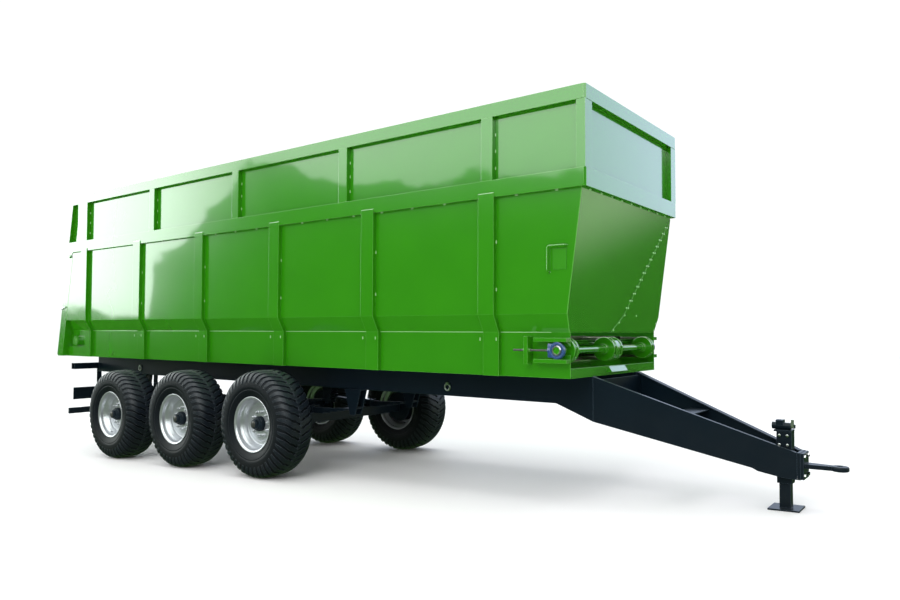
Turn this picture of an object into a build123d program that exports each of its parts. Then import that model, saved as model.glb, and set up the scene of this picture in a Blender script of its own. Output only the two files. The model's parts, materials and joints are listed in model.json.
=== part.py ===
"""Three-axle grain cart with a chain-and-slat floor. Millimetres, +X forward to the tow eye, +Z up.

Everything is laid out square to the cart's own floor, with x = 0 at the front face of the upper box and
z = 0 at the ground under the front axle. The parked cart stands nose down, so the last section turns every
piece by PARKING_PITCH and moves the origin to the bottom centre of the whole cart.
"""
from build123d import *
import math
import os

os.makedirs("parts", exist_ok=True)

# ---------------------------------------------------------------- driving dimensions
PARKING_PITCH = 1.976            # degrees, nose down on the parking jack

BOX_LENGTH = 9144.0              # upper box, front face to rear edge at the top
RAIL_WIDTH = 2244.0              # over the top and middle rails
TOP_Z = 3868.0
TOP_RAIL_HEIGHT = 130.0
MID_RAIL_TOP = 3134.0
MID_RAIL_HEIGHT = 163.0
RAIL_DEPTH = 60.0
TAIL_SLANT = 0.177               # rearward run of the tail per unit of drop
SHEET = 5.0

UPPER_RECESS = 55.0              # upper panels behind the rail faces
LOWER_POST_PROUD = 8.0           # lower posts in front of the rail faces
LOWER_POST_DEPTH = 48.0
SKIRT_POST_DEPTH = 45.0
CHAMFER_TOP = 1864.0
CHAMFER_BOTTOM = 1698.0
SKIRT_BOTTOM = 1285.0
SKIRT_POST_HALF = 1040.0         # centre line to the skirt's post faces

UPPER_POST_WIDTH = 132.0
UPPER_POST_FIRST = 1030.0
UPPER_POST_PITCH = 1931.0
UPPER_POST_COUNT = 4
LOWER_POST_WIDTH = 178.0
LOWER_POST_FIRST = 1034.0
LOWER_POST_PITCH = 1541.0
LOWER_POST_COUNT = 5
REAR_POST_LEAD = 454.0           # front edge of the wide rear post ahead of the box's rear edge
REAR_POST_WIDTH = 300.0
REAR_LOWER_SHIFT = 20.0          # lower rear post ahead of the upper one
CORNER_POST_LENGTH = 90.0
CORNER_POST_WIDTH = 140.0

NOSE_TOP_X = -57.0               # lower front wall under the middle rail
NOSE_CHAMFER_X = -203.0
NOSE_BOTTOM_X = -225.0
FRONT_PLATE_X = -215.0           # front edge of the skirts beside the conveyor

TAILGATE_DEPTH = 180.0
TAILGATE_TOP = 2880.0
HINGE_INSET = 63.212             # hinge line ahead of the tail's slanted face
HINGE_Z = 2912.0
HINGE_PIN_RADIUS = 18.0
HINGE_BOSS_RADIUS = 30.0
LUG_THICKNESS = 12.0
RUNNING_FIT = 0.08               # radial clearance of shafts and pins
BODY_GAP = 0.4                   # between faces of pieces that move apart

TYRE_RADIUS = 622.0
TYRE_WIDTH = 463.0
RIM_RADIUS = 300.0
RIM_FLANGE_RADIUS = 322.0
WHEEL_OUTER_Y = 1495.0           # outer sidewall of the tyres
AXLE_FRONT_X = -4055.0
AXLE_PITCH = 1581.0
AXLE_COUNT = 3
SPINDLE_RADIUS = 42.0
AXLE_BEAM = 120.0

BEAM_OUTER_Y = 565.0             # outer faces of the chassis beams
BEAM_WIDTH = 90.0
BEAM_BOTTOM = 1012.0
BEAM_OVERHANG = 186.0            # chassis beams behind the box's rear edge
KNEE_X = -590.0                  # where the chassis beams start to deepen
BEND_X = -205.0                  # where the drawbar starts to converge
BEND_BOTTOM = 865.0
TIP_X = 1445.0
TIP_OUTER_Y = 110.0
TIP_TOP = 688.0
TIP_BOTTOM = 460.0
DRAWBAR_WALL = 46.0
FLANGE_THICKNESS = 12.0
FLANGE_LIP = 14.0

EYE_X = 1751.0
EYE_Z = 573.0
EYE_OUTER_RADIUS = 70.0
EYE_HOLE_RADIUS = 25.0
EYE_THICKNESS = 42.0
COUPLING_PLATE = 26.0
COUPLING_BOLT_PITCH = 160.0

JACK_X = 1335.0
JACK_TUBE = 120.0
JACK_TUBE_BOTTOM = 410.0
JACK_TUBE_TOP = 850.0
JACK_LEG = 90.0
JACK_FOOT = 250.0
JACK_FOOT_THICKNESS = 14.0

SHAFT_X = -310.0
SHAFT_Z = 1535.0
SHAFT_RADIUS = 32.0
REAR_SHAFT_LEAD = 64.0           # rear shaft ahead of the box's rear edge
CHAIN_WHEEL_RADIUS = 118.0
CHAIN_GROOVE_RADIUS = 87.0
CHAIN_THICKNESS = 24.0
CHAIN_WIDTH = 40.0
OUTER_CHAIN_Y = 905.0
INNER_CHAIN_Y = 62.0
WHEEL_CHEEK = 22.0
FLOOR_SHEET = 8.0
SLAT_HEIGHT = 34.0
SLAT_WIDTH = 50.0
SLAT_COUNT = 20
BEARING_RADIUS = 76.0
BEARING_WIDTH = 44.0
TAKE_UP_TRAVEL = 60.0
ROD_RADIUS = 10.0
ROD_END_X = -769.0
TENSION_BRACKET_X = -622.0
BEARER_PITCH = 900.0
BEARER_DEPTH = 60.0

# ---------------------------------------------------------------- derived places
HALF_RAIL = RAIL_WIDTH / 2
REAR_POST_FRONT = REAR_POST_LEAD - BOX_LENGTH
REAR_SHAFT_X = REAR_SHAFT_LEAD - BOX_LENGTH
BEAM_REAR_X = -BEAM_OVERHANG - BOX_LENGTH
TOP_RAIL_BOTTOM = TOP_Z - TOP_RAIL_HEIGHT
MID_RAIL_BOTTOM = MID_RAIL_TOP - MID_RAIL_HEIGHT
UPPER_PANEL_Y = HALF_RAIL - UPPER_RECESS
LOWER_POST_Y = HALF_RAIL + LOWER_POST_PROUD
LOWER_WALL_Y = LOWER_POST_Y - LOWER_POST_DEPTH
SKIRT_Y = SKIRT_POST_HALF - SKIRT_POST_DEPTH
WHEEL_Y = WHEEL_OUTER_Y - TYRE_WIDTH / 2
GROUND_SLOPE = math.tan(math.radians(PARKING_PITCH))
AXLES = [AXLE_FRONT_X - i * AXLE_PITCH for i in range(AXLE_COUNT)]
AXLE_NAMES = ["front", "middle", "rear"]
SIDES = {"right": -1, "left": 1}
FLOOR_TOP = SHAFT_Z + CHAIN_GROOVE_RADIUS
CHAIN_RADIUS = CHAIN_GROOVE_RADIUS + CHAIN_THICKNESS
BEARING_Y = SKIRT_POST_HALF + 2.0
CHAIN_LINES = [-OUTER_CHAIN_Y, -INNER_CHAIN_Y, INNER_CHAIN_Y, OUTER_CHAIN_Y]
SLAT_RUN = REAR_SHAFT_X - SHAFT_X

pieces = {}


def ground_z(x):
    """Height of the ground under x, square to the cart's floor."""
    return GROUND_SLOPE * (x - AXLE_FRONT_X)


def tail_x(z):
    """Rear face of the cart at height z."""
    return -BOX_LENGTH - TAIL_SLANT * (TOP_Z - z)


def nose_x(z):
    """Front edge of the lower body at height z."""
    upper = (NOSE_CHAMFER_X - NOSE_TOP_X) / (CHAMFER_TOP - MID_RAIL_BOTTOM)
    lower = (NOSE_BOTTOM_X - NOSE_CHAMFER_X) / (CHAMFER_BOTTOM - CHAMFER_TOP)
    if z > CHAMFER_TOP:
        return NOSE_TOP_X + upper * (z - MID_RAIL_BOTTOM)
    return NOSE_CHAMFER_X + lower * (z - CHAMFER_TOP)


def wheel_centre_z(x):
    """Height of an axle whose tyres stand on the ground."""
    return ground_z(x) + TYRE_RADIUS / math.cos(math.radians(PARKING_PITCH))


def keep(label, *builders):
    """Keep the finished solids of one node for the parked layout."""
    pieces[label] = Compound([solid for builder in builders for solid in builder.part.solids()])


def block(low, high, mode=Mode.ADD):
    """Rectangular block between two corners."""
    size = [b - a for a, b in zip(low, high)]
    with Locations(tuple((a + b) / 2 for a, b in zip(low, high))):
        Box(*size, mode=mode)


def bar_x(centre, radius, length, mode=Mode.ADD):
    """Round bar along X about its centre."""
    with Locations(Location(centre, (0, 90, 0))):
        Cylinder(radius, length, mode=mode)


def bar_y(centre, radius, length, mode=Mode.ADD):
    """Round bar along Y about its centre."""
    with Locations(Location(centre, (90, 0, 0))):
        Cylinder(radius, length, mode=mode)


def plate_xz(points, y_low, y_high, mode=Mode.ADD):
    """Plate with a side outline of (x, z) points between two Y values."""
    with BuildSketch(Plane.XZ.offset(-y_high)) as outline:
        with BuildLine():
            Polyline(*points, close=True)
        make_face()
    extrude(outline.sketch, amount=y_high - y_low, mode=mode)


def plate_yz(points, x_low, x_high, mode=Mode.ADD):
    """Plate with a front outline of (y, z) points between two X values."""
    with BuildSketch(Plane.YZ.offset(x_low)) as outline:
        with BuildLine():
            Polyline(*points, close=True)
        make_face()
    extrude(outline.sketch, amount=x_high - x_low, mode=mode)


def mirrored(points, side):
    """Outline for one side: y values take the side's sign."""
    return [(side * y, z) for y, z in points]


# ---------------------------------------------------------------- rails and upper box
def rail_ring(z_low, z_high):
    """Hollow rectangular ring of the box with a slanted tail."""
    outer = [(0, z_low), (0, z_high), (tail_x(z_high), z_high), (tail_x(z_low), z_low)]
    inner = [
        (-RAIL_DEPTH, z_low),
        (-RAIL_DEPTH, z_high),
        (tail_x(z_high) + RAIL_DEPTH, z_high),
        (tail_x(z_low) + RAIL_DEPTH, z_low),
    ]
    inside = HALF_RAIL - RAIL_DEPTH
    plate_xz(outer, -HALF_RAIL, HALF_RAIL)
    plate_xz(inner, -inside, inside, mode=Mode.SUBTRACT)


with BuildPart() as top_rail:
    rail_ring(TOP_RAIL_BOTTOM, TOP_Z)
    corners = top_rail.edges().filter_by(Axis.Z).group_by(Axis.X)[-1]
    chamfer(corners, 18)
keep("top_rail", top_rail)

with BuildPart() as middle_rail:
    rail_ring(MID_RAIL_BOTTOM, MID_RAIL_TOP)
    corners = middle_rail.edges().filter_by(Axis.Z).group_by(Axis.X)[-1]
    chamfer(corners, 18)
keep("middle_rail", middle_rail)

UPPER_OUTLINE = [
    (-RAIL_DEPTH, MID_RAIL_TOP),
    (-RAIL_DEPTH, TOP_RAIL_BOTTOM),
    (tail_x(TOP_RAIL_BOTTOM) + SHEET, TOP_RAIL_BOTTOM),
    (tail_x(MID_RAIL_TOP) + SHEET, MID_RAIL_TOP),
]
upper_panel_sides = []
upper_post_sides = []
for side in SIDES.values():
    panel_low, panel_high = sorted((side * (UPPER_PANEL_Y - SHEET), side * UPPER_PANEL_Y))
    with BuildPart() as upper_panel:
        plate_xz(UPPER_OUTLINE, panel_low, panel_high)
    upper_panel_sides.append(upper_panel)

    post_low, post_high = sorted((side * UPPER_PANEL_Y, side * HALF_RAIL))
    with BuildPart() as upper_posts:
        for number in range(UPPER_POST_COUNT):
            centre = -UPPER_POST_FIRST - number * UPPER_POST_PITCH
            half = UPPER_POST_WIDTH / 2
            block((centre - half, post_low, MID_RAIL_TOP), (centre + half, post_high, TOP_RAIL_BOTTOM))
        rear_low = REAR_POST_FRONT - REAR_POST_WIDTH
        block((rear_low, post_low, MID_RAIL_TOP), (REAR_POST_FRONT, post_high, TOP_RAIL_BOTTOM))
        fillet(upper_posts.edges().filter_by(Axis.Z), 5)
    upper_post_sides.append(upper_posts)

with BuildPart() as front_corner_posts:
    for side in SIDES.values():
        y_low, y_high = sorted((side * (HALF_RAIL - CORNER_POST_WIDTH), side * (HALF_RAIL - 3)))
        block((-RAIL_DEPTH + SHEET, y_low, MID_RAIL_TOP), (-3, y_high, TOP_RAIL_BOTTOM))
        y_low, y_high = sorted((side * UPPER_PANEL_Y, side * (HALF_RAIL - 3)))
        block((-CORNER_POST_LENGTH, y_low, MID_RAIL_TOP), (-RAIL_DEPTH + SHEET, y_high, TOP_RAIL_BOTTOM))
keep("upper_panels", *upper_panel_sides)
keep("upper_posts", *upper_post_sides, front_corner_posts)

PANEL_EDGE = UPPER_PANEL_Y - SHEET
with BuildPart() as front_upper_panel:
    block((-RAIL_DEPTH, -PANEL_EDGE, MID_RAIL_TOP), (-RAIL_DEPTH + SHEET, PANEL_EDGE, TOP_RAIL_BOTTOM))
keep("front_upper_panel", front_upper_panel)

with BuildPart() as rear_upper_panel:
    tail_sheet = [
        (tail_x(MID_RAIL_TOP), MID_RAIL_TOP),
        (tail_x(MID_RAIL_TOP) + SHEET, MID_RAIL_TOP),
        (tail_x(TOP_RAIL_BOTTOM) + SHEET, TOP_RAIL_BOTTOM),
        (tail_x(TOP_RAIL_BOTTOM), TOP_RAIL_BOTTOM),
    ]
    plate_xz(tail_sheet, -HALF_RAIL, HALF_RAIL)
keep("rear_upper_panel", rear_upper_panel)


# ---------------------------------------------------------------- lower walls and posts
def door_front_x(z):
    """Forward face of the tailgate at height z."""
    return tail_x(z) + TAILGATE_DEPTH


WALL_SIDE = [
    (nose_x(MID_RAIL_BOTTOM), MID_RAIL_BOTTOM),
    (nose_x(CHAMFER_TOP), CHAMFER_TOP),
    (nose_x(CHAMFER_BOTTOM), CHAMFER_BOTTOM),
    (FRONT_PLATE_X, CHAMFER_BOTTOM),
    (FRONT_PLATE_X, SKIRT_BOTTOM),
    (door_front_x(SKIRT_BOTTOM) + 8, SKIRT_BOTTOM),
    (door_front_x(MID_RAIL_BOTTOM) + 8, MID_RAIL_BOTTOM),
]
WALL_OUTER = [
    (LOWER_WALL_Y, MID_RAIL_BOTTOM),
    (LOWER_WALL_Y, CHAMFER_TOP),
    (SKIRT_Y, CHAMFER_BOTTOM),
    (SKIRT_Y, SKIRT_BOTTOM),
]
WALL_SECTION = WALL_OUTER + [(y - SHEET, z) for y, z in reversed(WALL_OUTER)]
POST_SECTION = [
    (HALF_RAIL, MID_RAIL_BOTTOM + 45),
    (LOWER_POST_Y, MID_RAIL_BOTTOM + 37),
    (LOWER_POST_Y, CHAMFER_TOP),
    (SKIRT_POST_HALF, CHAMFER_BOTTOM),
    (SKIRT_POST_HALF, SKIRT_BOTTOM),
    (SKIRT_Y, SKIRT_BOTTOM),
    (SKIRT_Y, CHAMFER_BOTTOM),
    (LOWER_WALL_Y, CHAMFER_TOP),
    (LOWER_WALL_Y, MID_RAIL_BOTTOM),
    (HALF_RAIL, MID_RAIL_BOTTOM),
]
REAR_FILL_FRONT = REAR_POST_FRONT + REAR_LOWER_SHIFT - LOWER_POST_WIDTH
lower_post_sides = []
SLOT_REAR = SHAFT_X - SHAFT_RADIUS - 8
for side_name, side in SIDES.items():
    with BuildPart() as lower_wall:
        plate_yz(mirrored(WALL_SECTION, side), tail_x(0), 0)
        with BuildSketch(Plane.XZ):
            with BuildLine():
                Polyline(*WALL_SIDE, close=True)
            make_face()
        extrude(amount=RAIL_WIDTH, both=True, mode=Mode.INTERSECT)
        y_low, y_high = sorted((side * (SKIRT_Y - 20), side * (SKIRT_Y + 20)))
        slot_half = SHAFT_RADIUS + 8
        block((SLOT_REAR, y_low, SHAFT_Z - slot_half), (0, y_high, SHAFT_Z + slot_half), mode=Mode.SUBTRACT)
        bar_y((REAR_SHAFT_X, side * SKIRT_Y, SHAFT_Z), SHAFT_RADIUS + 8, 40, mode=Mode.SUBTRACT)
    keep(f"lower_wall_{side_name}", lower_wall)

    with BuildPart() as lower_posts:
        for number in range(LOWER_POST_COUNT):
            centre = -LOWER_POST_FIRST - number * LOWER_POST_PITCH
            half = LOWER_POST_WIDTH / 2
            plate_yz(mirrored(POST_SECTION, side), centre - half, centre + half)
        plate_yz(mirrored(POST_SECTION, side), REAR_FILL_FRONT, REAR_POST_FRONT + REAR_LOWER_SHIFT)
    lower_post_sides.append(lower_posts)

FILL_TOP = 2955.0                # flat filler beside the tailgate, flush with its side face
STEP_Z = 1440.0
with BuildPart() as rear_corner_plates:
    for side in SIDES.values():
        upper_fill = [
            (REAR_FILL_FRONT, CHAMFER_TOP),
            (REAR_FILL_FRONT, FILL_TOP),
            (door_front_x(FILL_TOP) + 8, FILL_TOP),
            (door_front_x(CHAMFER_TOP) + 8, CHAMFER_TOP),
        ]
        y_low, y_high = sorted((side * LOWER_WALL_Y, side * HALF_RAIL))
        plate_xz(upper_fill, y_low, y_high)
        lower_fill = [
            (REAR_FILL_FRONT, SKIRT_BOTTOM),
            (REAR_FILL_FRONT, STEP_Z),
            (door_front_x(STEP_Z) + 8, STEP_Z),
            (door_front_x(SKIRT_BOTTOM) + 8, SKIRT_BOTTOM),
        ]
        y_low, y_high = sorted((side * SKIRT_Y, side * SKIRT_POST_HALF))
        plate_xz(lower_fill, y_low, y_high)
keep("lower_posts", *lower_post_sides, rear_corner_plates)

with BuildPart() as front_lower_wall:
    wall_line = [
        (nose_x(MID_RAIL_BOTTOM) + SHEET, MID_RAIL_BOTTOM),
        (nose_x(CHAMFER_TOP) + SHEET, CHAMFER_TOP),
        (nose_x(CHAMFER_BOTTOM) + SHEET, CHAMFER_BOTTOM),
    ]
    section = wall_line + [(x - SHEET, z) for x, z in reversed(wall_line)]
    plate_xz(section, -LOWER_WALL_Y, LOWER_WALL_Y)
    shape = [
        (-LOWER_WALL_Y, MID_RAIL_BOTTOM),
        (-LOWER_WALL_Y, CHAMFER_TOP),
        (-SKIRT_Y, CHAMFER_BOTTOM),
        (SKIRT_Y, CHAMFER_BOTTOM),
        (LOWER_WALL_Y, CHAMFER_TOP),
        (LOWER_WALL_Y, MID_RAIL_BOTTOM),
    ]
    plate_yz(shape, NOSE_BOTTOM_X - 50, 0, mode=Mode.INTERSECT)
keep("front_lower_wall", front_lower_wall)

PATCH_SHEET = 3.0
with BuildPart() as front_corner_patch:
    patch_line = [(x + PATCH_SHEET, z) for x, z in wall_line]
    section = patch_line + list(reversed(wall_line))
    plate_xz(section, -LOWER_WALL_Y, LOWER_WALL_Y)
    patch_outline = [
        (LOWER_WALL_Y, MID_RAIL_BOTTOM - 20),
        (137, 1875),
        (-136, CHAMFER_BOTTOM),
        (SKIRT_Y, CHAMFER_BOTTOM),
        (LOWER_WALL_Y, CHAMFER_TOP),
    ]
    plate_yz(patch_outline, NOSE_BOTTOM_X - 50, 0, mode=Mode.INTERSECT)
keep("front_corner_patch", front_corner_patch)

WINDOW_LOW = (-378.0, 2233.0)
WINDOW_HIGH = (-205.0, 2468.0)
GUARD_ROD = 9.0
GUARD_Y = LOWER_WALL_Y + 34
with BuildPart() as inspection_window:
    y_face = -LOWER_WALL_Y
    pane_high = (WINDOW_HIGH[0], y_face, WINDOW_HIGH[1] - 25)
    block((WINDOW_LOW[0] + 40, y_face - 6, WINDOW_LOW[1] + 25), pane_high)
keep("inspection_window", inspection_window)

with BuildPart() as window_guard:
    with BuildLine() as guard_line:
        FilletPolyline(
            (WINDOW_HIGH[0], -LOWER_WALL_Y, WINDOW_HIGH[1]),
            (WINDOW_HIGH[0], -GUARD_Y, WINDOW_HIGH[1]),
            (WINDOW_LOW[0], -GUARD_Y, WINDOW_HIGH[1]),
            (WINDOW_LOW[0], -GUARD_Y, WINDOW_LOW[1]),
            (WINDOW_LOW[0], -LOWER_WALL_Y, WINDOW_LOW[1]),
            radius=20,
        )
    with BuildSketch(Plane(guard_line.line @ 0, z_dir=guard_line.line % 0)):
        Circle(GUARD_ROD)
    sweep()
keep("window_guard", window_guard)

# ---------------------------------------------------------------- tailgate
HINGE_X = tail_x(HINGE_Z) + HINGE_INSET
DOOR_LOW = SKIRT_BOTTOM
DOOR_OUTLINE = [
    (door_front_x(TAILGATE_TOP), TAILGATE_TOP),
    (door_front_x(DOOR_LOW), DOOR_LOW),
    (tail_x(DOOR_LOW) + 35, DOOR_LOW),
    (tail_x(DOOR_LOW + 30), DOOR_LOW + 30),
    (tail_x(TAILGATE_TOP), TAILGATE_TOP),
]
DOOR_RIM = 70.0
EAR_Y = HALF_RAIL - LUG_THICKNESS - 3.0
with BuildPart() as tailgate:
    plate_xz(DOOR_OUTLINE, -HALF_RAIL, HALF_RAIL)
    pocket = [
        (tail_x(TAILGATE_TOP) - 50, TAILGATE_TOP - DOOR_RIM),
        (tail_x(DOOR_LOW) - 50, DOOR_LOW + DOOR_RIM),
        (door_front_x(DOOR_LOW + DOOR_RIM) - SHEET, DOOR_LOW + DOOR_RIM),
        (door_front_x(TAILGATE_TOP - DOOR_RIM) - SHEET, TAILGATE_TOP - DOOR_RIM),
    ]
    bay = (2 * HALF_RAIL - 5 * DOOR_RIM) / 4
    for number in range(4):
        y_low = -HALF_RAIL + DOOR_RIM + number * (bay + DOOR_RIM)
        plate_xz(pocket, y_low, y_low + bay, mode=Mode.SUBTRACT)
    for side in SIDES.values():
        y_low, y_high = sorted((side * (EAR_Y - 20), side * EAR_Y))
        ear = [
            (HINGE_X + 40, TAILGATE_TOP - 10),
            (HINGE_X + 26, HINGE_Z + 26),
            (HINGE_X - 26, HINGE_Z + 26),
            (HINGE_X - 40, TAILGATE_TOP - 10),
        ]
        plate_xz(ear, y_low, y_high)
        bar_y((HINGE_X, side * EAR_Y, HINGE_Z), HINGE_PIN_RADIUS + RUNNING_FIT, 60, mode=Mode.SUBTRACT)
keep("tailgate", tailgate)

with BuildPart() as hinge_lugs:
    for side in SIDES.values():
        y_low, y_high = sorted((side * (HALF_RAIL - LUG_THICKNESS), side * HALF_RAIL))
        lug = [
            (HINGE_X + 120, MID_RAIL_BOTTOM),
            (HINGE_X + 0.6 * HINGE_BOSS_RADIUS, HINGE_Z - 0.8 * HINGE_BOSS_RADIUS),
            (HINGE_X - HINGE_BOSS_RADIUS, HINGE_Z),
            (HINGE_X - HINGE_BOSS_RADIUS, MID_RAIL_BOTTOM),
        ]
        plate_xz(lug, y_low, y_high)
        bar_y((HINGE_X, side * (HALF_RAIL - LUG_THICKNESS / 2), HINGE_Z), HINGE_BOSS_RADIUS, LUG_THICKNESS)
        bar_y((HINGE_X, side * HALF_RAIL, HINGE_Z), HINGE_PIN_RADIUS, 60, mode=Mode.SUBTRACT)

with BuildPart() as hinge_pins:
    for side in SIDES.values():
        inner = EAR_Y - 28
        outer = HALF_RAIL + 4
        bar_y((HINGE_X, side * (inner + outer) / 2, HINGE_Z), HINGE_PIN_RADIUS, outer - inner)
        bar_y((HINGE_X, side * (HALF_RAIL + 3), HINGE_Z), HINGE_PIN_RADIUS + 5, 6)
keep("tailgate_hinges", hinge_lugs, hinge_pins)

LATCH_Z = 2070.0
with BuildPart() as tailgate_latches:
    for side in SIDES.values():
        centre = (tail_x(LATCH_Z) + 62, side * (HALF_RAIL + 9 + BODY_GAP), LATCH_Z)
        bar_y(centre, 16, 18)
        with Locations(Location(centre, (0, -12, 0))):
            Box(150, 10, 26)
        bar_y((centre[0] + 66, centre[1], centre[2] + 14), 8, 18)
keep("tailgate_latches", tailgate_latches)

# ---------------------------------------------------------------- conveyor floor
FLOOR_HALF = SKIRT_Y - SHEET
FLOOR_FRONT = -470.0
FLOOR_REAR = REAR_SHAFT_X + CHAIN_WHEEL_RADIUS + 14
with BuildPart() as floor_plate:
    block((FLOOR_REAR, -FLOOR_HALF, FLOOR_TOP - FLOOR_SHEET), (FLOOR_FRONT, FLOOR_HALF, FLOOR_TOP))
keep("floor_plate", floor_plate)

FRONT_TUBE_RADIUS = 20.0
with BuildPart() as floor_front_tube:
    centre = (FLOOR_FRONT - FRONT_TUBE_RADIUS, 0, FLOOR_TOP - FLOOR_SHEET - FRONT_TUBE_RADIUS)
    bar_y(centre, FRONT_TUBE_RADIUS, 2 * FLOOR_HALF)

RETURN_Z = SHAFT_Z - CHAIN_RADIUS
RAIL_STRIP = 10.0
BEARER_TOP = RETURN_Z - RAIL_STRIP
BEARER_COUNT = int((REAR_SHAFT_X - FRONT_PLATE_X) / -BEARER_PITCH)
BEARER_XS = [-600.0 - BEARER_PITCH * n for n in range(BEARER_COUNT)]
with BuildPart() as floor_bearers:
    for x in BEARER_XS:
        block((x - BEARER_DEPTH, -FLOOR_HALF, SKIRT_BOTTOM), (x, FLOOR_HALF, BEARER_TOP))
        web = (x - BEARER_DEPTH - 1, -FLOOR_HALF - 1, SKIRT_BOTTOM + 8)
        block(web, (x - 8, FLOOR_HALF + 1, BEARER_TOP - 8), mode=Mode.SUBTRACT)

with BuildPart() as return_rails:
    for y in CHAIN_LINES:
        half = CHAIN_WIDTH / 2
        block((BEARER_XS[-1] - BEARER_DEPTH, y - half, BEARER_TOP), (-560, y + half, RETURN_Z))
keep("floor_frame", floor_front_tube, floor_bearers, return_rails)

with BuildPart() as front_cross_member:
    block((FRONT_PLATE_X - 50, -FLOOR_HALF, SKIRT_BOTTOM), (FRONT_PLATE_X, FLOOR_HALF, SKIRT_BOTTOM + 88))
    channel_low = (FRONT_PLATE_X - 51, -FLOOR_HALF - 1, SKIRT_BOTTOM + 6)
    channel_high = (FRONT_PLATE_X - 6, FLOOR_HALF + 1, SKIRT_BOTTOM + 82)
    block(channel_low, channel_high, mode=Mode.SUBTRACT)
    gusset = [
        (FRONT_PLATE_X, SKIRT_BOTTOM + 82),
        (FRONT_PLATE_X + 34, SKIRT_BOTTOM + 30),
        (FRONT_PLATE_X + 30, SKIRT_BOTTOM + 26),
        (FRONT_PLATE_X, SKIRT_BOTTOM + 26),
    ]
    plate_xz(gusset, -190, 190)
    web = [
        (FRONT_PLATE_X, SKIRT_BOTTOM + 74),
        (FRONT_PLATE_X + 26, SKIRT_BOTTOM + 33),
        (FRONT_PLATE_X, SKIRT_BOTTOM + 33),
    ]
    plate_xz(web, -182, 182, mode=Mode.SUBTRACT)
keep("front_cross_member", front_cross_member)


def chain_wheel(x, y_low, y_high, grooves):
    """Grooved chain wheel on a shaft, revolved about the shaft's line."""
    outline = [(SHAFT_RADIUS, y_low), (CHAIN_WHEEL_RADIUS, y_low)]
    for centre in grooves:
        half = CHAIN_WIDTH / 2 + 1
        outline += [
            (CHAIN_WHEEL_RADIUS, centre - half - 2),
            (CHAIN_GROOVE_RADIUS - BODY_GAP, centre - half),
            (CHAIN_GROOVE_RADIUS - BODY_GAP, centre + half),
            (CHAIN_WHEEL_RADIUS, centre + half + 2),
        ]
    outline += [(CHAIN_WHEEL_RADIUS, y_high), (SHAFT_RADIUS, y_high)]
    with BuildSketch(Plane((x, 0, SHAFT_Z))) as half_section:
        with BuildLine():
            Polyline(*outline, close=True)
        make_face()
    revolve(half_section.sketch, axis=Axis((x, 0, SHAFT_Z), (0, 1, 0)))


def wheel_set(x):
    """The two outer wheels and the double middle wheel of one shaft."""
    half = CHAIN_WIDTH / 2 + WHEEL_CHEEK
    chain_wheel(x, -OUTER_CHAIN_Y - half, -OUTER_CHAIN_Y + half, [-OUTER_CHAIN_Y])
    chain_wheel(x, -INNER_CHAIN_Y - half, INNER_CHAIN_Y + half, [-INNER_CHAIN_Y, INNER_CHAIN_Y])
    chain_wheel(x, OUTER_CHAIN_Y - half, OUTER_CHAIN_Y + half, [OUTER_CHAIN_Y])


SHAFT_HALF = BEARING_Y + BEARING_WIDTH - 6
with BuildPart() as front_shaft:
    bar_y((SHAFT_X, 0, SHAFT_Z), SHAFT_RADIUS, 2 * SHAFT_HALF)

with BuildPart() as front_chain_wheels:
    wheel_set(SHAFT_X)
keep("front_shaft", front_shaft, front_chain_wheels)

with BuildPart() as rear_shaft:
    bar_y((REAR_SHAFT_X, 0, SHAFT_Z), SHAFT_RADIUS, 2 * SHAFT_HALF)

with BuildPart() as rear_chain_wheels:
    wheel_set(REAR_SHAFT_X)
keep("rear_shaft", rear_shaft, rear_chain_wheels)

with BuildPart() as take_up_bearings:
    for side in SIDES.values():
        centre_y = side * (BEARING_Y + BEARING_WIDTH / 2)
        bar_y((SHAFT_X, centre_y, SHAFT_Z), BEARING_RADIUS, BEARING_WIDTH)
        low, high = sorted((side * BEARING_Y, side * (BEARING_Y + 30)))
        block((SHAFT_X - 96, low, SHAFT_Z - 64), (SHAFT_X, high, SHAFT_Z + 64))
        bore = SHAFT_RADIUS + RUNNING_FIT
        bar_y((SHAFT_X, centre_y, SHAFT_Z), bore, BEARING_WIDTH + 2, mode=Mode.SUBTRACT)
    fillet(take_up_bearings.edges().filter_by(GeomType.CIRCLE).filter_by(lambda e: e.radius > 70), 5)
keep("take_up_bearings", take_up_bearings)

ROD_Y = BEARING_Y + 16
ROD_FRONT = SHAFT_X - 96
with BuildPart() as tension_rods:
    for side in SIDES.values():
        bar_x(((ROD_END_X + ROD_FRONT) / 2, side * ROD_Y, SHAFT_Z), ROD_RADIUS, ROD_FRONT - ROD_END_X)
keep("tension_rods", tension_rods)

BRACKET_HALF = 126.0
BRACKET_THICKNESS = 40.0
with BuildPart() as tension_brackets:
    for side in SIDES.values():
        low, high = sorted((side * SKIRT_Y, side * (ROD_Y + 30)))
        x_low = TENSION_BRACKET_X - BRACKET_THICKNESS / 2
        x_high = TENSION_BRACKET_X + BRACKET_THICKNESS / 2
        block((x_low, low, SHAFT_Z - BRACKET_HALF), (x_high, high, SHAFT_Z + BRACKET_HALF))
        bar_x((TENSION_BRACKET_X, side * ROD_Y, SHAFT_Z), ROD_RADIUS + 1.5, 60, mode=Mode.SUBTRACT)

NUT_FLATS = 30.0
NUT_LENGTH = 18.0
with BuildPart() as tension_nuts:
    for side in SIDES.values():
        for end in (-1, 1):
            x = TENSION_BRACKET_X + end * (BRACKET_THICKNESS + NUT_LENGTH) / 2
            with BuildSketch(Plane.YZ.offset(x - NUT_LENGTH / 2)):
                with Locations((side * ROD_Y, SHAFT_Z)):
                    RegularPolygon(NUT_FLATS / 2, 6, major_radius=False)
                    Circle(ROD_RADIUS + RUNNING_FIT, mode=Mode.SUBTRACT)
            extrude(amount=NUT_LENGTH)

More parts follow.
